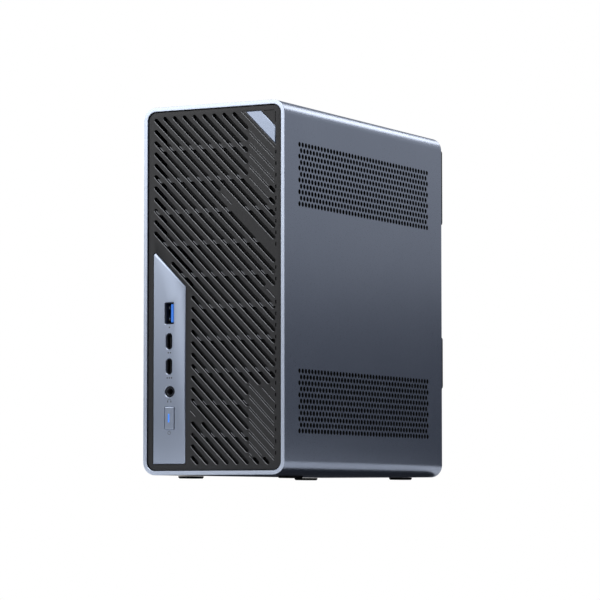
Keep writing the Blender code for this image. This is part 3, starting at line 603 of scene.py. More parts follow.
def bar_roots():
    """Where each bar runs into a rib: one spot for every slot that the bar crosses."""
    spots = []
    for k in slot_numbers:
        start, end, _ = slot_span(k)
        for n in range(10):
            z = bar_top - n * bar_pitch
            x = slot_line(k) - z
            if start + 0.6 < x < end - 0.6:
                spots.append((x, 0.0, z))
    return spots


def leaning(near, far):
    """Outline of a short stretch of bar between two 45-degree lines."""
    reach = bar_height / 2
    return [(near + reach, -reach), (far + reach, -reach), (far - reach, reach),
            (near - reach, reach)]


tab, lip, bar_face = leaning(0.05, 1.75), leaning(-0.5, 0.05), face_y + bar_sink + 0.1
set_on("cross_bar_tabs", bar_roots(), plate("Y", [(tab, face_y + 0.1), (tab, bar_face)]),
       charcoal_abs, "housing")
# Each bar's lip takes the same light grey: a painted highlight line where the bar meets a rib.
set_on("cross_bar_lips", bar_roots(), plate("Y", [
    (leaning(-0.4, 0.05), face_y + 0.08), (lip, face_y + 0.2), (lip, bar_face)]),
    painted_highlight_edge, "housing")

# ---------------------------------------------------------------------------------------------
# Dust filter and intake duct: fine black nylon cloth welded into a frame behind the slots, and
# a thin-walled grey ABS duct behind it that leads part of the air to the power supply.


def ripples(tree, place, labels, pitch):
    """A sine wave with the given pitch in millimetres along each of the axes."""
    split = add(tree, "ShaderNodeSeparateXYZ", Vector=place)
    return [add(tree, "ShaderNodeMath", "SINE", _0=add(
        tree, "ShaderNodeMath", "MULTIPLY", _0=split.outputs[label],
        _1=2 * math.pi / (pitch * MM))) for label in labels]


def woven_nylon(name, light, dark, thread):
    """Plain weave of round threads; the real threads are 0.2 mm apart and are drawn at 0.6 mm."""
    material, tree, shader, place = new_finish(name)
    along, across = ripples(tree, place, "XZ", thread)
    both = add(tree, "ShaderNodeMath", "MULTIPLY", _0=along, _1=across)
    height = add(tree, "ShaderNodeMapRange", Value=both, _1=-1.0, _2=1.0, _3=0.0, _4=1.0)
    # Darker in the dips between the threads: painted shade from the weave's height.
    tint = add(tree, "ShaderNodeMix", {"data_type": "RGBA"}, Factor=height, A=linear(dark),
               B=linear(light))
    bump = add(tree, "ShaderNodeBump", Strength=0.6, Distance=0.1 * MM, Height=height)
    plug(tree, shader, Base_Color=tint.outputs["Result"], Normal=bump, Roughness=0.8,
         Sheen_Weight=0.2)
    return material


def dress(material, *nodes):
    """Give carried-over CAD nodes their finish."""
    for node in nodes:
        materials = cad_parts[node].data.materials
        materials.clear()
        materials.append(material)


nylon_filter = woven_nylon("woven_black_nylon_filter", "#141517", "#060607", 0.6)
duct_abs = moulded("spark_eroded_grey_abs_duct", "#6A6D73", "#62656B", 0.6, 0.5, 0.02)
filter_low, filter_high = box("dust_filter")
step_x, step_z = -34.5, 139.0
filter_outline = [(filter_low.x, filter_low.z), (filter_high.x, filter_low.z),
                  (filter_high.x, filter_high.z), (step_x, filter_high.z), (step_x, step_z),
                  (filter_low.x, step_z)]
make_piece("filter_cloth", plate("Y", [(filter_outline, filter_low.y),
                                       (filter_outline, filter_high.y)]),
           nylon_filter, ["dust_filter"], "housing")
dress(duct_abs, "intake_duct")

# ---------------------------------------------------------------------------------------------
# Port plate and badge: aluminium sheet, 2.5 mm and 0.8 mm thick, milled to shape with a fine
# chamfer, blasted and anodised light silver-blue. Port and power signs are screen printed.

silver_anodised = blasted_anodised("bead_blasted_silver_anodised_plate", "#C3CDDF", "#BBC6D9", 0.42)
badge_anodised = blasted_anodised("bead_blasted_grey_anodised_badge", "#A4AEC0", "#9CA7BA", 0.42)
printed_ink = moulded("screen_printed_grey_ink", "#5C626E", "#555B66", 0.5)
plate_low, plate_high = box("front_port_plate")
port_x, type_a_z, type_c_z, jack_z, button_z = -30.4, 99.5, (82.5, 67.35), 52.1, 36.1


def around(u, v, width, height, radius, steps=4):
    """Rounded rectangle about a point."""
    return rounded(u - width / 2, u + width / 2, v - height / 2, v + height / 2, radius, steps)


def stadium(u, v, width, height):
    return around(u, v, width, height, min(width, height) / 2 - 0.01, 6)


def disc(u, v, radius, count=32):
    return lambda grow=0.0: arc(u, v, radius + grow, 0, 360, count)[:-1]


port_mouths = [(around(port_x - 0.35, type_a_z, 6.2, 13.3, 0.7), 0.3),
               (disc(port_x, jack_z, 3.4), 0.3),
               (around(port_x, button_z, 7.2, 14.2, 1.0), 0.12)]
port_mouths += [(stadium(port_x - 0.5, z, 4.2, 9.9), 0.3) for z in type_c_z]
make_piece("port_plate", slab(
    "Y", port_plate_outline, plate_low.y, plate_high.y, 0.35, cuts=[
        bored(mouth, plate_low.y, plate_high.y, edge) for mouth, edge in port_mouths]),
    silver_anodised, ["front_port_plate"], "housing")
badge_low, badge_high = box("badge_plate")
make_piece("plain_badge", slab("Y", badge_outline, badge_low.y, badge_high.y, 0.3),
           badge_anodised, ["badge_plate"], "housing")


def printed_sign(name, strokes):
    """Thin printed strokes standing 0.03 mm proud of the plate."""
    bm = bmesh.new()
    for outline in strokes:
        plate("Y", [(outline, plate_low.y - 0.03), (outline, plate_low.y + 0.02)], bm=bm)
    make_piece(name, bm, printed_ink, body="housing")


def band(u, v, radius, width, start, end):
    return arc(u, v, radius, start, end, 20) + arc(u, v, radius - width, end, start, 20)


sign_x, phones_z, power_z = port_x - 0.1, 46.7, 27.25
for count, z in ((1, 90.9), (2, 75.6), (3, 60.4)):
    printed_sign(f"socket_dots_{count}", [disc(sign_x + 1.5 * (i - (count - 1) / 2), z, 0.48, 16)()
                                          for i in range(count)])
ear_pads = [around(sign_x + out, phones_z - 0.675, 0.55, 1.05, 0.15, 2)()
            for out in (-1.125, 1.125)]
printed_sign("headphone_sign", [band(sign_x, phones_z - 0.2, 1.25, 0.25, -10, 190), *ear_pads])
printed_sign("power_sign", [band(sign_x, power_z, 1.1, 0.22, 115, 425),
                            around(sign_x, power_z + 0.8, 0.24, 1.1, 0.08, 2)()])

# ---------------------------------------------------------------------------------------------
# Front sockets: drawn steel shells, plated, with moulded tongues that carry gilt contacts. The
# fast socket has its usual blue tongue. The audio jack is a black moulding with a plated ring.


def sheet_metal(name, colour, worn, roughness, grain=0.3, lay="X"):
    """Rolled, plated metal: fine lines along the rolling direction and slightly uneven gloss.
    Rolling lines are about 0.05 mm apart; grain draws them coarser."""
    along = [0.04 if letter == lay else 1.0 for letter in "XYZ"]
    return grained(name, colour, worn, 60.0, 3.0, grain, along, roughness, 0.08, 0.25, 0.15, 0.01,
                   Metallic=1.0)


nickel_shell = sheet_metal("nickel_plated_steel", "#C9CBCE", "#B4B7BC", 0.28, 0.25, "Y")
dark_nickel = sheet_metal("dark_nickel_plated_steel", "#54565C", "#484A50", 0.35, 0.25, "Y")
gilt_contact = sheet_metal("gold_flashed_contacts", "#E3C27A", "#CDA85C", 0.3, 0.3, "Y")
blue_tongue = moulded("moulded_blue_nylon", "#3E86F0", "#377DE8", 0.38)
black_nylon = moulded("moulded_black_nylon", "#1B1B1D", "#151517", 0.45, 0.35, 0.015)


def socket_shell(name, outline, thickness, front, back, floor, material, replaces):
    """Thin drawn shell with a rolled mouth, closed by its floor; front is the open end."""
    lip = math.copysign(0.12, back - front)
    cut = [(outline(0.08 - thickness), front), (outline(-thickness), front + lip),
           (outline(-thickness), floor)]
    make_piece(name, slab("Y", outline, front, back, 0.12, cuts=[cut]), material,
               replaces)


def tongue(name, x, z, width, height, tip, root, material=black_nylon):
    """Moulded tongue with rounded edges, standing on the socket's floor."""
    make_piece(name, slab("Y", around(x, z, width, height, 0.2, 3), tip, root, 0.2, 0.3), material)


def rail_contacts(name, x, z, step, count, width, height, tip, root):
    """A row of flat spring contacts lying along a tongue, one above another."""
    edge = around(0, 0, width, height, min(width, height) / 3, 2)
    repeat(name, slab("Y", edge, tip, root, 0.04, 0.1), count, (x, 0, z), (0, 0, step),
           gilt_contact)


def centre_of(node):
    """A CAD node's lowest and highest corner and its middle's X and Z."""
    low, high = box(node)
    return low, high, (low.x + high.x) / 2, (low.z + high.z) / 2


def around_node(node, radius, steps=4):
    """Rounded outline of a CAD node seen from the front."""
    low, high = box(node)
    return rounded(low.x, high.x, low.z, high.z, radius, steps)


type_a_low, type_a_high = box("front_type_a_port")
type_a_floor, tongue_x, tongue_tip, contact_tip = -99.0, -29.175, -109.2, -108.6
socket_shell("front_type_a_shell", around_node("front_type_a_port", 0.6), 0.35, type_a_low.y,
             type_a_high.y, type_a_floor, dark_nickel, ["front_type_a_port"])
tongue("front_type_a_tongue", tongue_x, type_a_z, 1.95, 11.2, tongue_tip, type_a_floor + 0.1,
       blue_tongue)
rail_contacts("front_type_a_contacts", tongue_x - 1.045, type_a_z - 3.75, 2.5, 4, 0.16, 1.3,
              contact_tip, type_a_floor - 0.1)
set_on("front_type_a_latches", [(-31.6, 0, type_a_z + v) for v in (-3.4, 3.4)],
       slab("Y", around(0, 0, 0.5, 1.8, 0.2, 3), contact_tip, type_a_floor + 0.1, 0.15, 0.4),
       nickel_shell)


def type_c_socket(named, node, z, mouth, back, floor, tip, reach, metal):
    """Small oval socket: shell, tongue and a row of contacts."""
    x, inward = centre_of(node)[2], math.copysign(1, back - mouth)
    socket_shell(named.format("shell"), stadium(x, z, 3.2, 9.0), 0.35, mouth, back, floor, metal,
                 [node])
    tongue(named.format("tongue"), x, z, 0.7, reach, tip, floor + 0.1 * inward)
    rail_contacts(named.format("contacts"), x, z - 2.75, 0.5, 12, 0.84, 0.26, tip + 0.6 * inward,
                  floor - 0.1 * inward)


for label, z in zip(("upper", "lower"), type_c_z):
    node = f"front_type_c_port_{label}"
    low, high = box(node)
    type_c_socket("front_type_c_{}_" + label, node, z, low.y, high.y, -103.0, low.y + 1.2, 6.6,
                  dark_nickel)
jack_low, jack_high = box("front_audio_jack")
jack_face, barrel_root, jack_floor = jack_low.y + 0.1, -106.2, -97.0
barrel_radius, mouth_radius, bore_radius, ring_radius, ring_bore = 3.1, 2.1, 1.75, 2.75, 2.05
jack_mesh = slab("Y", around_node("front_audio_jack", 0.4, 2), barrel_root, jack_high.y, 0.2)
jack_cut = bored(disc(port_x, jack_z, bore_radius, 40), jack_face, jack_floor,
                 mouth_radius - bore_radius, 0.5)
make_piece("audio_jack_body", slab("Y", disc(port_x, jack_z, barrel_radius, 40), jack_face,
                                   barrel_root, 0.35, cuts=[jack_cut], bm=jack_mesh),
           black_nylon, ["front_audio_jack"])
ring_back = jack_low.y + 0.6
ring_cut = bored(disc(port_x, jack_z, ring_bore, 40), jack_low.y, ring_back, 0.12)
make_piece("audio_jack_ring", slab("Y", disc(port_x, jack_z, ring_radius, 40), jack_low.y,
                                   ring_back, 0.12, cuts=[ring_cut]),
           dark_nickel)

# ---------------------------------------------------------------------------------------------
# Power button: a milled cap in the plate's own finish, held by a flange behind the plate, with
# a clear light pipe through it. The pipe is lit blue from the board behind it.

cap_low, cap_high, cap_x, _ = centre_of("power_button_cap")
cap_edge = around(cap_x, button_z, 6.6, 13.6, 0.8, 5)
flange = around_node("power_button_cap", 1.0, 5)
flange_y, flange_depth = face_y + 2.6, 0.7
pipe_hole = around(cap_x - 0.4, button_z, 1.1, 5.3, 0.5, 5)
cap_mesh = plate("Y", [(cap_edge(-0.4), cap_low.y), (cap_edge(-0.12), cap_low.y + 0.12),
                       (cap_edge(), cap_low.y + 0.4), (cap_edge(), flange_y),
                       (flange(), flange_y), (flange(), flange_y + flange_depth)],
                 [bored(pipe_hole, cap_low.y, flange_y + flange_depth, 0.1)])
stem = disc(port_x + 2.0, button_z, 1.0, 20)
plate("Y", [(stem(), flange_y + 0.6), (stem(), cap_high.y - 0.2), (stem(-0.2), cap_high.y)],
      bm=cap_mesh)
make_piece("power_button", cap_mesh, silver_anodised, ["power_button_cap"],
           "power_button", 20)


def lit_pipe(name, glow, strength):
    """Clear polycarbonate pipe, evenly lit from behind, slightly cloudy from its frosted end."""
    material, tree, shader, place = new_finish(name)
    cloud = add(tree, "ShaderNodeTexNoise", Vector=place, Scale=900.0, Detail=2.0)
    level = add(tree, "ShaderNodeMapRange", Value=cloud, _1=0.2, _2=0.8, _3=strength * 0.92,
                _4=strength * 1.08)
    plug(tree, shader, Emission_Strength=level, Base_Color=linear("#16305E"),
         Emission_Color=linear(glow), Roughness=0.3)
    return material


lit_polycarbonate = lit_pipe("frosted_polycarbonate_lit_blue", "#4A8FF5", 1.0)
pipe_low, pipe_high = box("power_light_pipe")
make_piece("light_pipe", slab("Y", around_node("power_light_pipe", 0.45, 5), pipe_low.y,
                              pipe_high.y, 0.12),
           lit_polycarbonate, ["power_light_pipe"], "power_button")

# ---------------------------------------------------------------------------------------------
# Feet: four moulded rubber pads glued under the sleeve, with a bevelled lower edge and a shallow
# tread of cross grooves.

foot_rubber = moulded("moulded_black_rubber", "#232325", "#1A1A1C", 0.8, 0.5, 0.04)
for place_name in ("front_left", "front_right", "rear_left", "rear_right"):
    node = f"rubber_foot_{place_name}"
    low, high = box(node)
    edge = rounded(low.x, high.x, low.y, high.y, 1.2, 4)
    grooves = []
    for i in range(6):
        y = low.y + 3.0 + i * (high.y - low.y - 6.0) / 5
        groove = rounded(low.x + 1.6, high.x - 1.6, y - 0.35, y + 0.35, 0.3, 2)
        grooves.append([(groove(), 0.0), (groove(-0.15), 0.35)])
    pad = plate("Z", [(edge(-0.8), 0.0), (edge(-0.5), 0.15), (edge(-0.1), 0.6), (edge(), 0.9),
                      (edge(), high.z)], grooves)
    make_piece(f"foot_{place_name}", pad, foot_rubber, [node], "housing")

# ---------------------------------------------------------------------------------------------
# Chassis tray and sleeve tabs: 1 mm zinc-plated sheet steel, folded, with shallow pressed beads
# for stiffness and blind rivets; the two tapped tabs are screwed inside the sleeve.

zinc_sheet = sheet_metal("zinc_plated_sheet_steel", "#B4B9C0", "#A3A8B0", 0.38, 0.6, "Y")
dress(zinc_sheet, "chassis_tray", "psu_case", "card_bracket")
dress(anodised_sleeve, "sleeve_tab_upper", "sleeve_tab_lower")
tray_side = box("chassis_tray")[0].x
for index, (y0, y1) in enumerate(((-96.0, -36.0), (-26.0, 34.0), (44.0, 96.0))):
    edge = rounded(y0, y1, -4.0, 4.0, 3.9, 6)
    repeat(f"tray_side_beads_{index + 1}", plate("X", [(edge(-0.8), tray_side - 0.3),
                                                       (edge(), tray_side + 0.1)]),
           5, (0, 0, 30.0), (0, 0, 40.0), zinc_sheet)


def strewn_tree():
    """One small part strewn over the given faces at least a spacing apart, in quarter turns."""
    tree, pick = new_tree("parts_strewn_on_board", {
        "Shape": ("Object", None), "Spacing": ("Float", 0.002), "Density": ("Float", 60000.0),
        "Seed": ("Int", 1), "Material": ("Material", None)})
    spots = add(tree, "GeometryNodeDistributePointsOnFaces", {"distribute_method": "POISSON"},
                Mesh=pick["Geometry"], Distance_Min=pick["Spacing"], Density_Max=pick["Density"],
                Seed=pick["Seed"])
    quarter = add(tree, "FunctionNodeRandomValue", {"data_type": "INT"}, Seed=pick["Seed"],
                  _4=0, _5=3)
    angle = add(tree, "ShaderNodeMath", "MULTIPLY", _0=quarter.outputs[2],
                _1=math.pi / 2)
    turn = add(tree, "ShaderNodeCombineXYZ", X=angle)
    shape = add(tree, "GeometryNodeObjectInfo", Object=pick["Shape"])
    many = add(tree, "GeometryNodeInstanceOnPoints", Points=spots.outputs["Points"],
               Instance=shape.outputs["Geometry"], Rotation=turn)
    return end_tree(tree, many, pick["Material"])


parts_strewn = strewn_tree()


def strew(name, level, areas, bm, spacing, seed, material):
    """Small parts over rectangles (Y and Z spans) of a board that faces the right."""
    base = bpy.data.meshes.new(name)
    corners = [(level, y, z) for y0, y1, z0, z1 in areas
               for y, z in ((y0, z0), (y1, z0), (y1, z1), (y0, z1))]
    faces = [tuple(range(4 * i, 4 * i + 4)) for i in range(len(areas))]
    base.from_pydata([Vector(c) * MM for c in corners], [], faces)
    with_shape(name, parts_strewn, base, bm, {"Spacing": spacing * MM, "Seed": seed}, material)


rivet = disc(0, 0, 1.6, 14)
set_on("tray_rivets", [(tray_side, y, z) for y in (-100.0, -31.0, 39.0, 101.0)
                       for z in (14.0, 112.0, 212.0)],
       plate("X", [(rivet(-1.1), -0.35), (rivet(-0.4), -0.25), (rivet(), 0.1)]), zinc_sheet)

# ---------------------------------------------------------------------------------------------
# Rear panel with its fan guard and bracket cover: 1.4 mm steel sheet, punched, black powder
# coated; the guard and the cover are black ABS mouldings. Cross-recess machine screws hold all.

black_powder = moulded("black_powder_coated_steel", "#26272A", "#1F2023", 0.48, 0.6, 0.03)
black_abs = moulded("spark_eroded_black_abs", "#1F1F21", "#18181A", 0.5, 0.4, 0.015)
blackened_screw = sheet_metal("blackened_screw_steel", "#3A3B3F", "#303135", 0.35)
plated_screw = sheet_metal("zinc_plated_screw_steel", "#C2C6CB", "#AEB3BA", 0.3)
dress(black_powder, "rear_panel", "blank_bracket")
dress(black_abs, "exhaust_guard", "bracket_cover", "cooler_fan_frame", "exhaust_fan_frame",
      "psu_fan_frame", "memory_socket_a", "memory_socket_b", "card_slot", "power_switch")
panel_y = box("rear_panel")[1].y
guard_low, guard_high = box("exhaust_guard")
cover_low, cover_high = box("bracket_cover")
# The guard and the cover have raised frames, which show past the sleeve's rear edge. A neck
# inside the sleeve's opening joins each frame to the panel.
frame_front, frame_back = sleeve_high.y + 0.15, guard_high.y + 0.7
frame_side, neck_side = 47.9, 45.5
for name, low, high, top, width in (("guard_frame", guard_low, guard_high, 217.3, 2.2),
                                    ("cover_frame", cover_low, cover_high, cover_high.z, 1.4)):
    outer = rounded(low.x, frame_side, low.z, top, 2.0)
    neck = rounded(low.x + 0.1, neck_side, low.z + 0.1, top - 0.1, 2.0)
    inner = rounded(low.x + width, neck_side - width, low.z + width, high.z - width / 2, 1.0)
    make_piece(name, plate("Y", [(outer(-0.5), frame_back), (outer(-0.15), frame_back - 0.15),
                                 (outer(), frame_back - 0.5), (outer(), frame_front),
                                 (neck(), frame_front), (neck(), panel_y + 0.02)],
                           [bored(inner, frame_back, panel_y + 0.02)]),
               black_abs)


def cross_recess(arm, thin, u=0.0, v=0.0):
    """Outline of a cross about a point."""
    points = [(arm, -thin), (arm, thin), (thin, thin), (thin, arm), (-thin, arm), (-thin, thin),
              (-arm, thin), (-arm, -thin), (-thin, -thin), (-thin, -arm), (thin, -arm),
              (thin, -thin)]
    return [(u + a, v + b) for a, b in points]


def screw_head(axis, radius, height):
    """Pan head with a cross recess."""
    d, arm, thin = disc(0, 0, radius, 16), radius * 0.62, radius * 0.17
    return plate(axis, [(d(-0.3 * radius), height), (d(-0.08 * radius), height * 0.7), (d(), 0.0),
                        (d(), -0.3)],
                 [[(cross_recess(arm, thin), height),
                   (cross_recess(arm * 0.7, thin * 0.7), height * 0.35)]])


def four_corners(u0, u1, v0, v1, inset):
    """Places for four screws, inset from the corners."""
    return [(u, v) for u in (u0 + inset, u1 - inset) for v in (v0 + inset, v1 - inset)]


set_on("panel_screws", [(x, panel_y, z) for x, z in
                        ((-42.0, 219.0), (-6.0, 219.5), (42.0, 219.0), (-42.4, 112.0),
                         (43.0, 128.0), (-43.0, 30.0), (43.0, 14.0), (-43.0, 9.0))],
       screw_head("Y", 1.7, 0.9), blackened_screw)
set_on("guard_screws", [(x, guard_high.y, z) for x, z in four_corners(
    guard_low.x, guard_high.x, guard_low.z, guard_high.z, 3.2)],
       screw_head("Y", 1.6, 0.7), blackened_screw)
set_on("bracket_screws", [(40.5, cover_high.y - 1.2, z) for z in (66.6, 86.9)],
       screw_head("Y", 2.0, 1.0), plated_screw)

# ---------------------------------------------------------------------------------------------
# Rear sockets on the motherboard's edge: drawn shells with moulded tongues and gilt contacts;
# the network sockets are shielded black mouldings with eight spring wires and two light windows.

video_low, video_high, _, video_z = centre_of("rear_video_port")
video_x, video_tip, video_floor = -38.7, 106.0, video_low.y + 2
socket_shell("video_shell", around_node("rear_video_port", 1.0), 0.5, video_high.y, video_low.y,
             video_floor, nickel_shell, ["rear_video_port"])
tongue("video_tongue", video_x, video_z, 1.0, video_high.z - video_low.z - 4, video_tip, 97.9)
rail_contacts("video_contacts", video_x, video_z - 4.5, 1.0, 10, 1.12, 0.4, video_tip - 0.5, 98.2)

stack_low, stack_high = box("rear_type_a_stack")
stack_bays = {"inner": stack_low.x + 0.9, "outer": stack_low.x + 8.6}
bay_width, bay_floor, bay_tip = 5.4, 97.0, 106.9
bay_cuts = [bored(rounded(x, x + bay_width, stack_low.z + 0.4, stack_high.z - 0.4, 0.4, 3),
                  stack_high.y, bay_floor, 0.1, 0.15) for x in stack_bays.values()]
make_piece("data_stack_shell", slab("Y", around_node("rear_type_a_stack", 0.5, 3), stack_high.y,
                                    stack_low.y, 0.12, cuts=bay_cuts),
           nickel_shell, ["rear_type_a_stack"])
for label, x in stack_bays.items():
    middle_z, height = (stack_low.z + stack_high.z) / 2, stack_high.z - stack_low.z - 2.4
    tongue(f"data_stack_tongue_{label}", x + 3.9, middle_z, 1.8, height, bay_tip, bay_floor - 0.1,
           blue_tongue)
    rail_contacts(f"data_stack_contacts_{label}", x + 2.95, stack_low.z + 2.9, 2.45, 4, 0.16, 1.3,
                  bay_tip - 0.6, bay_floor + 0.1)

low, high, _, z = centre_of("rear_type_c_port")
type_c_socket("rear_type_c_{}", "rear_type_c_port", z, high.y, low.y, 101.6, 107.0, 6.4,
              nickel_shell)

green_window = moulded("clear_green_light_window", "#5FBF63", "#55B35A", 0.25, 0.3, 0.005)
amber_window = moulded("clear_amber_light_window", "#E8A23A", "#DB962F", 0.25, 0.3, 0.005)
shell_floor, body_floor, latch_depth, latch_side = 95.0, 96.0, 0.9, 2.6
for label in ("upper", "lower"):
    node = f"rear_lan_port_{label}"
    low, high = box(node)
    x0, x1, z0, z1 = low.x + 1.8, high.x - 1.8, low.z + 2.0, high.z - 2.0
    mouth = [(x0, z0), (x1, z0), (x1, z0 + latch_side), (x1 + latch_depth, z0 + latch_side),
             (x1 + latch_depth, z1 - latch_side), (x1, z1 - latch_side), (x1, z1), (x0, z1)]
    make_piece(f"network_socket_shell_{label}", slab(
        "Y", around_node(node, 0.4, 3), high.y, low.y, 0.12,
        cuts=[[(mouth, high.y), (mouth, shell_floor)]]), nickel_shell, [node])
    body_edge = rounded(x0 + 0.05, x1 - 0.05, z0 + 0.05, z1 - 0.05, 0.2, 2)()
    opening = rounded(x0 + 0.5, x1 - 0.4, z0 + 0.6, z1 - 0.6, 0.2, 2)()
    make_piece(f"network_socket_body_{label}", plate(
        "Y", [(body_edge, high.y - 0.5), (body_edge, shell_floor + 0.1)],
        [[(opening, high.y - 0.5), (opening, body_floor)]]), black_nylon)
    rail_contacts(f"network_socket_wires_{label}", x0 + 1.7, (z0 + z1) / 2 - 3.57, 1.02, 8, 0.35,
                  0.35, high.y - 3.0, body_floor + 0.1)
    for colour, window, start in (("green", green_window, z0 + 0.2),
                                  ("amber", amber_window, z1 - 2.4)):
        pane = rounded(x1 + 0.25, x1 + 1.45, start, start + 2.2, 0.3, 3)
        make_piece(f"network_{colour}_window_{label}", slab("Y", pane, high.y + 0.12,
                                                            high.y - 0.4, 0.15, 0.17),
                   window)

# ---------------------------------------------------------------------------------------------
# Network card: dark laminate with a milled aluminium heat sink and two stamped cages, standing
# in the card slot behind its bracket; the second bracket is blank.


def circuit_board(name, mask, track):
    """Solder mask over etched copper: faint parallel tracks, 0.3 mm wide in the real board and
    drawn 0.5 mm wide, in patches, under a smooth glossy coat."""
    material, tree, shader, place = new_finish(name)
    patches = add(tree, "ShaderNodeTexVoronoi", {"distance": "CHEBYCHEV"}, Vector=place,
                  Scale=95.0)
    pick = add(tree, "ShaderNodeSeparateXYZ", Vector=patches.outputs["Color"])
    waves = ripples(tree, place, "YXZ", 1.1)
    flat = add(tree, "ShaderNodeMath", "MAXIMUM", _0=waves[0], _1=waves[1])
    either = add(tree, "ShaderNodeMath", "GREATER_THAN", _0=pick, _1=0.5)
    chosen = add(tree, "ShaderNodeMix", {"data_type": "FLOAT"}, Factor=either, A=flat, B=waves[2])
    line = add(tree, "ShaderNodeMapRange", Value=chosen, _1=0.15, _2=0.4, _3=0.0, _4=1.0)
    tint = add(tree, "ShaderNodeMix", {"data_type": "RGBA"}, Factor=line, A=linear(mask),
               B=linear(track))
    bump = add(tree, "ShaderNodeBump", Strength=0.3, Distance=0.03 * MM, Height=line)
    plug(tree, shader, Base_Color=tint.outputs["Result"], Normal=bump, Roughness=0.38,
         Coat_Weight=0.4, Coat_Roughness=0.2)
    return material


dark_laminate = circuit_board("black_solder_mask_laminate", "#12171A", "#1C2529")
mill_aluminium = sheet_metal("rolled_aluminium", "#D0D3D8", "#BFC3C9", 0.32, 0.5, "Z")
black_epoxy = moulded("moulded_black_epoxy", "#2B2C30", "#232428", 0.5)
tin_caps = sheet_metal("tinned_part_ends", "#B9AC94", "#A3967F", 0.4)
paper_label = moulded("matt_white_paper_label", "#D6D8DB", "#CDCFD3", 0.7, 0.4)
dress(dark_laminate, "motherboard", "front_io_board", "cpu_package")

card_low, card_high = box("network_card")
board_top = card_low.z + 1.6
card_outline = [(-30.3, -28.0), (36.0, -28.0), (36.0, 104.0), (-30.3, 104.0), (-30.3, 98.0),
                (-38.0, 98.0), (-38.0, 15.0), (-30.3, 15.0)]
make_piece("network_card_board", plate("Z", [(card_outline, board_top),
                                             (card_outline, card_low.z)]),
           dark_laminate, ["network_card"])
sink_top, sink_half, fin_count = 66.6, 19.0, 13
make_piece("card_sink_base", slab("Z", rounded(-20.0, 20.0, -10.0, 40.0, 1.0, 3), sink_top,
                                  board_top - 0.05, 0.3),
           mill_aluminium)
repeat("card_sink_fins", slab("Z", rounded(-0.6, 0.6, -9.0, 39.0, 0.25, 1), card_high.z,
                              sink_top - 0.4, 0.2, 0.3),
       fin_count, (-sink_half, 0, 0), (2 * sink_half / (fin_count - 1), 0, 0), mill_aluminium)
set_on("card_chips", [(x, y, board_top - 0.1) for x, y in
                      ((28.0, 60.0), (28.0, 44.0), (-25.5, 60.0), (0.0, 47.0))],
       slab("Z", around(0, 0, 8.0, 8.0, 0.3, 1), 1.3, 0.0, 0.15), black_epoxy)
gold_finger = rounded(-37.8, -31.2, -0.45, 0.45, 0.1, 1)()
repeat("card_edge_contacts", plate("Z", [(gold_finger, board_top + 0.05),
                                         (gold_finger, board_top - 0.1)]),
       54, (0, 16.5, 0), (0, 1.5, 0), gilt_contact)
for side, x in (("left", -10.0), ("right", 10.0)):
    node = f"network_cage_{side}"
    low, high = box(node)
    edge = around_node(node, 0.5, 3)
    socket_shell(f"cage_{side}", edge, 0.4, high.y, low.y, 60.0, nickel_shell, [node])
    make_piece(f"cage_liner_{side}", plate("Y", [(edge(-0.5), 61.0), (edge(-0.5), 59.9)]),
               black_nylon)
    finger = around(0, 0, 1.4, 0.24, 0.1, 1)
    for place_name, z in (("top", high.z + 0.02), ("base", low.z - 0.02)):
        repeat(f"cage_springs_{side}_{place_name}", plate(
            "Y", [(finger(-0.04), high.y - 0.5), (finger(0.06), high.y - 1.6),
                  (finger(), high.y - 3.4)]),
            5, (x - 5.2, 0, z), (2.6, 0, 0), nickel_shell)

# ---------------------------------------------------------------------------------------------
# Power supply: a folded zinc-plated case with a blank rating label, a small fan and a moulded
# mains inlet with three brass pins, nickel plated.

supply_high = box("psu_case")[1]
inlet_low, inlet_high, inlet_x, inlet_z = centre_of("power_inlet")


def inlet_mouth(grow=0.0):
    w, low, high, cut = 12.0 + grow, -8.2 - grow, 8.2 + grow, 4.6
    return [(inlet_x - w, inlet_z + low), (inlet_x + w, inlet_z + low),
            (inlet_x + w, inlet_z + high - cut), (inlet_x + w - cut, inlet_z + high),
            (inlet_x - w + cut, inlet_z + high), (inlet_x - w, inlet_z + high - cut)]


inlet_floor = 92.0
make_piece("mains_inlet", slab("Y", around_node("power_inlet", 1.5, 5), inlet_high.y, inlet_low.y,
                               0.4, cuts=[bored(inlet_mouth, inlet_high.y, inlet_floor, 0.3, 0.4)]),
           black_nylon, ["power_inlet"])
set_on("mains_inlet_pins", [(inlet_x + u, 0, inlet_z + v) for u, v in ((-7, -2), (7, -2), (0, 2))],
       slab("Y", around(0, 0, 2.0, 4.0, 0.5), 103.4, inlet_floor - 0.1, 0.6, 1.0), nickel_shell)
label_edge = rounded(10.0, 85.0, 12.0, 40.0, 1.0, 3)
make_piece("blank_rating_label", plate("X", [(label_edge(-0.03), supply_high.x + 0.08),
                                             (label_edge(), supply_high.x - 0.02)]),
           paper_label)
set_on("supply_screws", [(x, y, supply_high.z) for x in (-36.0, 36.0) for y in (-22.0, 40.0, 98.0)],
       screw_head("Z", 2.2, 0.8), plated_screw)

# ---------------------------------------------------------------------------------------------
# Fans: moulded black frames and wheels. Each wheel is a hub with swept, twisted blades, pressed
# on its shaft, with a plain foil label in the middle.

glossy_pbt = moulded("moulded_black_pbt_blades", "#202124", "#1A1B1D", 0.36, 0.5)
foil_label = sheet_metal("brushed_foil_label", "#9DA1A7", "#8D9198", 0.35, 0.4)


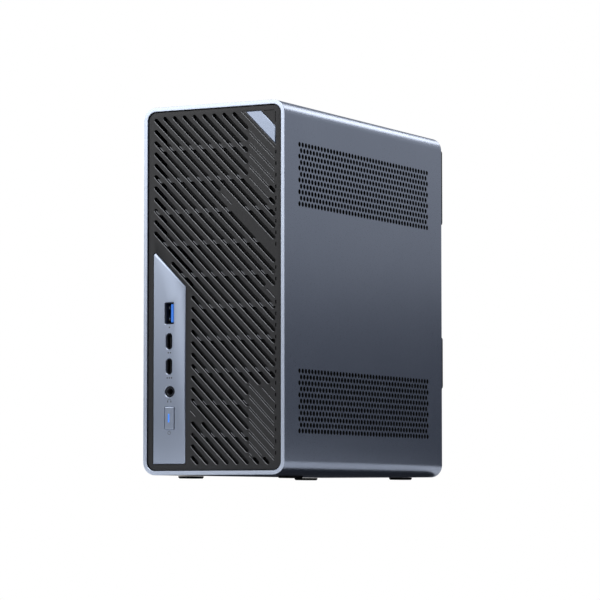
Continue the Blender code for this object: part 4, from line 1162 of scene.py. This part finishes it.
def twisted_blade(axis, hub, tip, depth, count):
    """One blade about the axis, thicker at the root, twisted and swept towards the tip."""
    bm = bmesh.new()
    loops = []
    for step in range(9):
        part = step / 8
        r = hub + (tip - hub) * part
        chord = min(2 * math.pi * r / count * 1.02, depth * 1.5)
        pitch = math.radians(44 - 16 * part)
        thick = 0.9 - 0.4 * part
        loop = []
        for side in (1, -1):
            for c in (-0.5, -0.3, 0.0, 0.3, 0.5)[::side]:
                edge = 0.15 if abs(c) == 0.5 else 1.0
                camber = (0.25 - c * c) * chord * 0.16
                along = c * chord * math.cos(pitch)
                a = along / r + math.radians(24) * part * part
                w = c * chord * math.sin(pitch) + camber + side * thick / 2 * edge
                loop.append(bm.verts.new(to_space(axis, r * math.cos(a), r * math.sin(a), w)))
        loops.append(loop)
    for first, second in zip(loops, loops[1:]):
        wall(bm, first, second)
    bm.faces.new(loops[0])
    bm.faces.new(loops[-1])
    return bm


def fan_wheel(label, axis, hub, tip, count, body):
    """A fan's blades, its hub and the label on the hub's outer face."""
    node = f"{label}_fan_rotor"
    low, high = box(node)
    centre, along = (low + high) / 2, "XYZ".index(axis)
    depth = (high - low)[along]
    turn = [360 / count * (letter == axis) for letter in "XYZ"]
    repeat(f"{label}_fan_blades", twisted_blade(axis, hub - 0.4, tip, depth, count), count, centre,
           (0, 0, 0), glossy_pbt, [node], body, turn, 50.0)
    u, v = {"X": (centre.y, centre.z), "Y": (centre.x, centre.z)}[axis]
    face = centre[along] + depth / 2
    d, s = disc(u, v, hub, 48), disc(u, v, hub * 0.72, 40)
    make_piece(f"{label}_fan_hub", plate(axis, [(d(-1.2), face), (d(-0.35), face - 0.35),
                                                (d(), face - 1.2), (d(), face - depth)]),
               glossy_pbt, body=body)
    make_piece(f"{label}_fan_label", plate(axis, [(s(-0.03), face + 0.06), (s(), face - 0.02)]),
               foil_label, body=body)


fan_wheel("cooler", "X", hub=16.0, tip=36.8, count=9, body="cooler_wheel")
fan_wheel("exhaust", "Y", hub=9.0, tip=17.4, count=7, body="exhaust_wheel")
fan_wheel("psu", "Y", hub=8.0, tip=16.4, count=7, body="psu_wheel")
cooler_low, cooler_high = box("cooler_fan_frame")
set_on("cooler_fan_screws", [(cooler_high.x, y, z) for y, z in four_corners(
    cooler_low.y, cooler_high.y, cooler_low.z, cooler_high.z, 4)],
       screw_head("X", 2.2, 0.9), blackened_screw)

# ---------------------------------------------------------------------------------------------
# Cooler: a copper cold plate on the processor, three sintered copper pipes and a stack of thin
# pressed aluminium fins, each with a small folded spacing flange along its top and bottom.

drawn_copper = sheet_metal("drawn_copper", "#D08A63", "#BC7850", 0.3, 0.4, "Y")
dress(drawn_copper, "cold_plate", "heat_pipe_1", "heat_pipe_2", "heat_pipe_3")
fin_low, fin_high = box("fin_stack")
leaf, hem, fin_count = 0.32, 1.4, 46
fin_pitch = (fin_high.y - fin_low.y - 1.6) / (fin_count - 1)
section = [(0.0, fin_low.z), (hem, fin_low.z), (hem, fin_low.z + leaf), (leaf, fin_low.z + leaf),
           (leaf, fin_high.z - leaf), (hem, fin_high.z - leaf), (hem, fin_high.z),
           (0.0, fin_high.z)]
repeat("cooling_fins", plate("X", [(section, fin_low.x), (section, fin_high.x)]), fin_count,
       (0, fin_low.y, 0), (0, fin_pitch, 0), mill_aluminium, ["fin_stack"])

# ---------------------------------------------------------------------------------------------
# Motherboard parts: black epoxy chips, chokes, polymer capacitors, small tinned parts placed by
# machine, memory modules, drive, radio card, coin cell and connectors, all soldered or plugged.

board_x = box("motherboard")[1].x
seat_x = board_x - 0.05
grey_ferrite = moulded("pressed_grey_ferrite", "#5C5E62", "#505256", 0.6, 0.5, 0.02)
cream_nylon = moulded("moulded_cream_nylon", "#D9D3C0", "#CFC9B5", 0.5, 0.4)
free_areas = [(38.0, 84.0, 100.0, 146.0), (38.0, 84.0, 176.0, 186.0), (-58.0, -48.0, 120.0, 186.0),
              (74.0, 84.0, 150.0, 216.0), (-58.0, 84.0, 70.0, 80.0), (34.0, 48.0, 188.0, 216.0),
              (-58.0, 30.0, 213.0, 217.0)]
for label, size, height, spacing, seed, finish in (
        ("resistors", (2.0, 1.0), 0.45, 2.2, 3, tin_caps),
        ("logic_chips", (5.2, 3.6), 0.9, 5.5, 8, black_epoxy)):
    strew(f"board_{label}", seat_x, free_areas,
          slab("X", around(0, 0, *size, 0.15, 1), height, 0.0, 0.1), spacing, seed, finish)
choke_spots = [(seat_x, -39.0, 128.0 + 9.0 * i) for i in range(6)]
choke_spots += [(seat_x, -24.0 + 10.0 * i, 126.0) for i in range(4)]
set_on("supply_chokes", choke_spots, slab("X", around(0, 0, 6.8, 6.8, 0.6, 2), 3.6, 0.0, 0.4, 0.5),
       grey_ferrite)
can = disc(0, 0, 2.6, 20)
can_spots = [(seat_x, -52.0, 124.0 + 8.0 * i) for i in range(6)]
can_spots += [(seat_x, 60.0 + 8.0 * i, 176.5) for i in range(3)]
set_on("polymer_capacitors", can_spots, plate("X", [
    (can(-0.9), 7.0), (can(-0.25), 6.9), (can(), 6.4), (can(), 1.4), (can(-0.2), 1.1),
    (can(-0.2), 0.0)]), mill_aluminium)
make_piece("chipset_sink_base", slab("X", rounded(52.0, 78.0, 106.0, 140.0, 1.0, 3),
                                     board_x + 3.4, board_x + 0.9, 0.3),
           mill_aluminium)
repeat("chipset_sink_fins", slab("X", rounded(53.0, 77.0, -0.7, 0.7, 0.3, 1), board_x + 8.0,
                                 board_x + 3.0, 0.2, 0.3),
       9, (0, 0, 107.5), (0, 0, 3.9), mill_aluminium)


def cell_block(name, y0, z0, rows, columns, pitch, height, material):
    """Connector housing with a grid of square cells."""
    rim, top = 0.6, board_x + height
    edge = rounded(y0, y0 + columns * pitch + 2 * rim, z0, z0 + rows * pitch + 2 * rim, 0.5, 2)
    cells = [around(y0 + rim + (c + 0.5) * pitch, z0 + rim + (r + 0.5) * pitch, pitch * 0.76,
                    pitch * 0.76, 0.3, 1)() for r in range(rows) for c in range(columns)]
    make_piece(name, slab("X", edge, top, board_x, 0.3,
                          cuts=[[(cell, top), (cell, board_x + 1.5)] for cell in cells]),
               material)


pin_pitch, power_pitch = 2.54, 4.2
cell_block("board_power_connector", -57.5, 188.0, 6, 1, power_pitch, 9.0, black_nylon)
cell_block("fan_connector", 38.0, 148.0, 1, 4, pin_pitch, 6.5, cream_nylon)
cell_block("front_panel_connector", -57.0, 56.0, 2, 9, pin_pitch, 6.5, black_nylon)
set_on("board_screws", [(board_x, y, z) for y in (-55.0, 98.0) for z in (54.0, 121.0)],
       screw_head("X", 2.6, 1.0), plated_screw)


def side_edge(node):
    """Rounded outline of a CAD node seen from the right."""
    low, high = box(node)
    return rounded(low.y, high.y, low.z, high.z, 0.4, 2)()


def stick(name, node, board):
    """The laminate board of a plug-in card."""
    x = box(node)[0].x
    make_piece(name, plate("X", [(side_edge(node), x + board), (side_edge(node), x)]),
               dark_laminate, [node])


for letter in "ab":
    node = f"memory_module_{letter}"
    low = box(node)[0]
    stick(f"{node}_board", node, 1.2)
    set_on(f"{node}_chips", [(low.x + 1.18, low.y + 9.5 + 16.2 * i, low.z + 18.0)
                             for i in range(4)],
           slab("X", around(0, 0, 10.8, 14.0, 0.3, 1), 1.15, 0.0, 0.15), black_epoxy)
    finger = around(0, 0, 0.6, 3.0, 0.1, 1)()
    repeat(f"memory_contacts_{letter}", plate("X", [(finger, low.x + 1.24), (finger, low.x + 1.1)]),
           64, (0, low.y + 2.2, low.z + 5.0), (0, 1.0, 0), gilt_contact)
low = box("solid_state_drive")[0]
stick("solid_state_drive_board", "solid_state_drive", 0.8)
set_on("solid_state_drive_chips", [(low.x + 0.78, low.y + y, low.z + 11.0)
                                   for y in (15.5, 35.5, 55.5)],
       slab("X", around(0, 0, 14.0, 17.0, 0.4, 1), 1.35, 0.0, 0.15), black_epoxy)
low, high = box("wireless_card")
stick("radio_card_board", "wireless_card", 0.8)
set_on("radio_card_shield", [(low.x + 0.78, (low.y + high.y) / 2, (low.z + high.z) / 2)],
       slab("X", around(0, 0, 21.0, 15.2, 0.5, 1), 1.4, 0.0, 0.3), nickel_shell)
low, high = box("coin_cell")
d = disc((low.y + high.y) / 2, (low.z + high.z) / 2, 10.0, 48)
make_piece("coin_cell_can", plate("X", [(d(-1.3), high.x), (d(-1.1), high.x - 0.25),
                                        (d(-0.4), high.x - 0.3), (d(), high.x - 0.7),
                                        (d(), low.x + 0.4), (d(-0.4), low.x)]),
           nickel_shell, ["coin_cell"])

# ---------------------------------------------------------------------------------------------
# Thumbscrews: turned steel, nickel plated, with a straight-knurled head, a cross recess and a
# shank that reaches the sleeve's tabs.

for label in ("upper", "lower"):
    node, body = f"thumbscrew_{label}", f"{label}_thumbscrew"
    low, high, x, z = centre_of(node)
    head_low, cross = panel_y + 0.3, cross_recess(2.0, 0.5, x, z)
    core, shank = disc(x, z, 3.3, 40), disc(x, z, 1.5, 40)
    screw = plate("Y", [(core(-0.5), high.y), (core(), high.y - 0.4), (core(), head_low),
                        (shank(), head_low), (shank(), low.y + 0.6), (shank(-0.5), low.y)],
                  [[(cross, high.y), (cross, high.y - 1.0)]])
    make_piece(f"thumbscrew_core_{label}", screw, nickel_shell, [node], body)
    ridge = rounded(3.1, 3.6, -0.17, 0.17, 0.1, 1)
    repeat(f"thumbscrew_knurl_{label}", slab("Y", ridge, high.y - 0.3, head_low, 0.06, 0.2), 36,
           (x, 0, z), (0, 0, 0), nickel_shell, body=body, turn=(0, 10, 0))

# ---------------------------------------------------------------------------------------------
# Studio: a pale floor and a plain white surround, soft area lights, and a long lens at a low
# angle from the front right. The lens sits 15 mm below the floor's level, as for a product on a
# raised glass table, so the floor is drawn from above only.


def studio_floor(name, colour, glow):
    """Matt pale board, seen from above only. It is lit through from below more and more away
    from the lamps, so that it stays pale up to the horizon."""
    material, tree, shader, place = new_finish(name)
    fibres = add(tree, "ShaderNodeTexNoise", Vector=place, Scale=350.0, Detail=3.0)
    level = add(tree, "ShaderNodeMapRange", Value=fibres, _1=0.3, _2=0.7, _3=0.55, _4=0.65)
    away = add(tree, "ShaderNodeVectorMath", "LENGTH", _0=place)
    backlight = add(tree, "ShaderNodeMapRange", {"interpolation_type": "SMOOTHERSTEP"},
                    Value=away.outputs["Value"], _1=0.2, _2=2.4, _3=0.0, _4=glow)
    plug(tree, shader, Roughness=level, Base_Color=linear(colour), Emission_Color=linear(colour),
         Emission_Strength=backlight)
    side = add(tree, "ShaderNodeNewGeometry").outputs["Backfacing"]
    mix = add(tree, "ShaderNodeMixShader", _0=side, _1=shader,
              _2=add(tree, "ShaderNodeBsdfTransparent"))
    plug(tree, tree.nodes["Material Output"], Surface=mix)
    return material


pale_board = studio_floor("matt_pale_board", "#F4F4F4", 0.5)


def floor_piece(name, *outlines):
    """Flat piece of floor: its outer outline, and its hole's where it has one."""
    bm = bmesh.new()
    rims = [ring(bm, "Z", outline, 0.0) for outline in outlines]
    bmesh.ops.triangle_fill(bm, use_beauty=True, use_dissolve=False,
                            edges=[edge for rim in rims for edge in rim[1]])
    floor = bpy.data.objects.new(name, to_mesh(bm, name))
    if floor.data.polygons[0].normal.z < 0:
        floor.data.flip_normals()
    floor.data.materials.append(pale_board)
    bpy.context.collection.objects.link(floor)
    return floor


under = rounded(sleeve_low.x, sleeve_high.x, sleeve_low.y, sleeve_high.y, 8.0)(2.6)
near = disc(0, 0, 200.0, 64)()
floor_piece("floor_under", under).visible_glossy = False
floor_piece("floor_near", near, under)
floor_piece("floor_far", disc(0, 0, 5000.0, 64)(), near).visible_glossy = False


def softbox(name, target, azimuth, elevation, distance, width, height, power):
    """Area light aimed at a point; azimuth 0 stands in front, 90 on the right."""
    lamp = bpy.data.lights.new(name, "AREA")
    lamp.shape, lamp.size, lamp.size_y, lamp.energy = "RECTANGLE", width, height, power
    light = bpy.data.objects.new(name, lamp)
    a, e = math.radians(azimuth), math.radians(elevation)
    way = Vector((math.sin(a) * math.cos(e), -math.cos(a) * math.cos(e), math.sin(e)))
    light.location = Vector(target) + way * distance
    light.rotation_euler = way.to_track_quat("Z", "Y").to_euler()
    light.visible_camera = False
    bpy.context.collection.objects.link(light)


middle = (0.0, 0.0, 0.11)
for name, *setting in (("front_softbox", (0.0, -0.1, 0.2), -30, 24, 0.55, 0.7, 0.45, 1.9),
                       ("edge_softbox", (0.0, -0.1, 0.12), 48, 58, 1.0, 0.5, 0.5, 2.2),
                       ("top_softbox", middle, 60, 82, 1.0, 0.8, 0.8, 3.5),
                       ("back_softbox", (0.04, 0.0, 0.22), 168, 28, 1.0, 0.5, 0.2, 0.85),
                       ("rear_softbox", (0.05, 0.05, 0.16), 152, 15, 0.7, 0.8, 0.35, 0.21),
                       ("left_softbox", middle, -110, 20, 1.4, 1.2, 1.0, 6.0)):
    softbox(name, *setting)

world = bpy.data.worlds.new("white_surround")
bpy.context.scene.world = world
world.use_nodes = True
sky = world.node_tree
sky.nodes.clear()
way = add(sky, "ShaderNodeSeparateXYZ",
          Vector=add(sky, "ShaderNodeTexCoord").outputs["Generated"])
rise = add(sky, "ShaderNodeMapRange", Value=way.outputs["Z"], _1=-1.0, _2=1.0, _3=0.0, _4=1.0)
shade = add(sky, "ShaderNodeValToRGB", Fac=rise)
bands = shade.color_ramp.elements
bands[0].color, bands[1].color = linear("#303238"), linear("#B5B9C0")
for height, colour in ((-0.10, "#303238"), (0.0, "#4A4D55"), (0.15, "#7C8089"), (0.5, "#A5A9B1")):
    bands.new((height + 1) / 2).color = linear(colour)
soft = add(sky, "ShaderNodeBackground", Color=shade, Strength=0.8)
white = add(sky, "ShaderNodeBackground", Color=(1, 1, 1, 1), Strength=1.0)
seen = add(sky, "ShaderNodeLightPath").outputs["Is Camera Ray"]
add(sky, "ShaderNodeOutputWorld",
    Surface=add(sky, "ShaderNodeMixShader", _0=seen, _1=soft, _2=white))
bpy.context.scene.view_settings.view_transform = "Standard"

lens = bpy.data.cameras.new("product_lens")
lens.lens, lens.sensor_width = 179.12, 36.0
camera = bpy.data.objects.new("product_lens", lens)
camera.location = (0.88028, -1.66529, -0.01514)
camera.rotation_euler = (math.radians(93.897), 0.0, math.radians(27.85))
bpy.context.collection.objects.link(camera)
bpy.context.scene.camera = camera
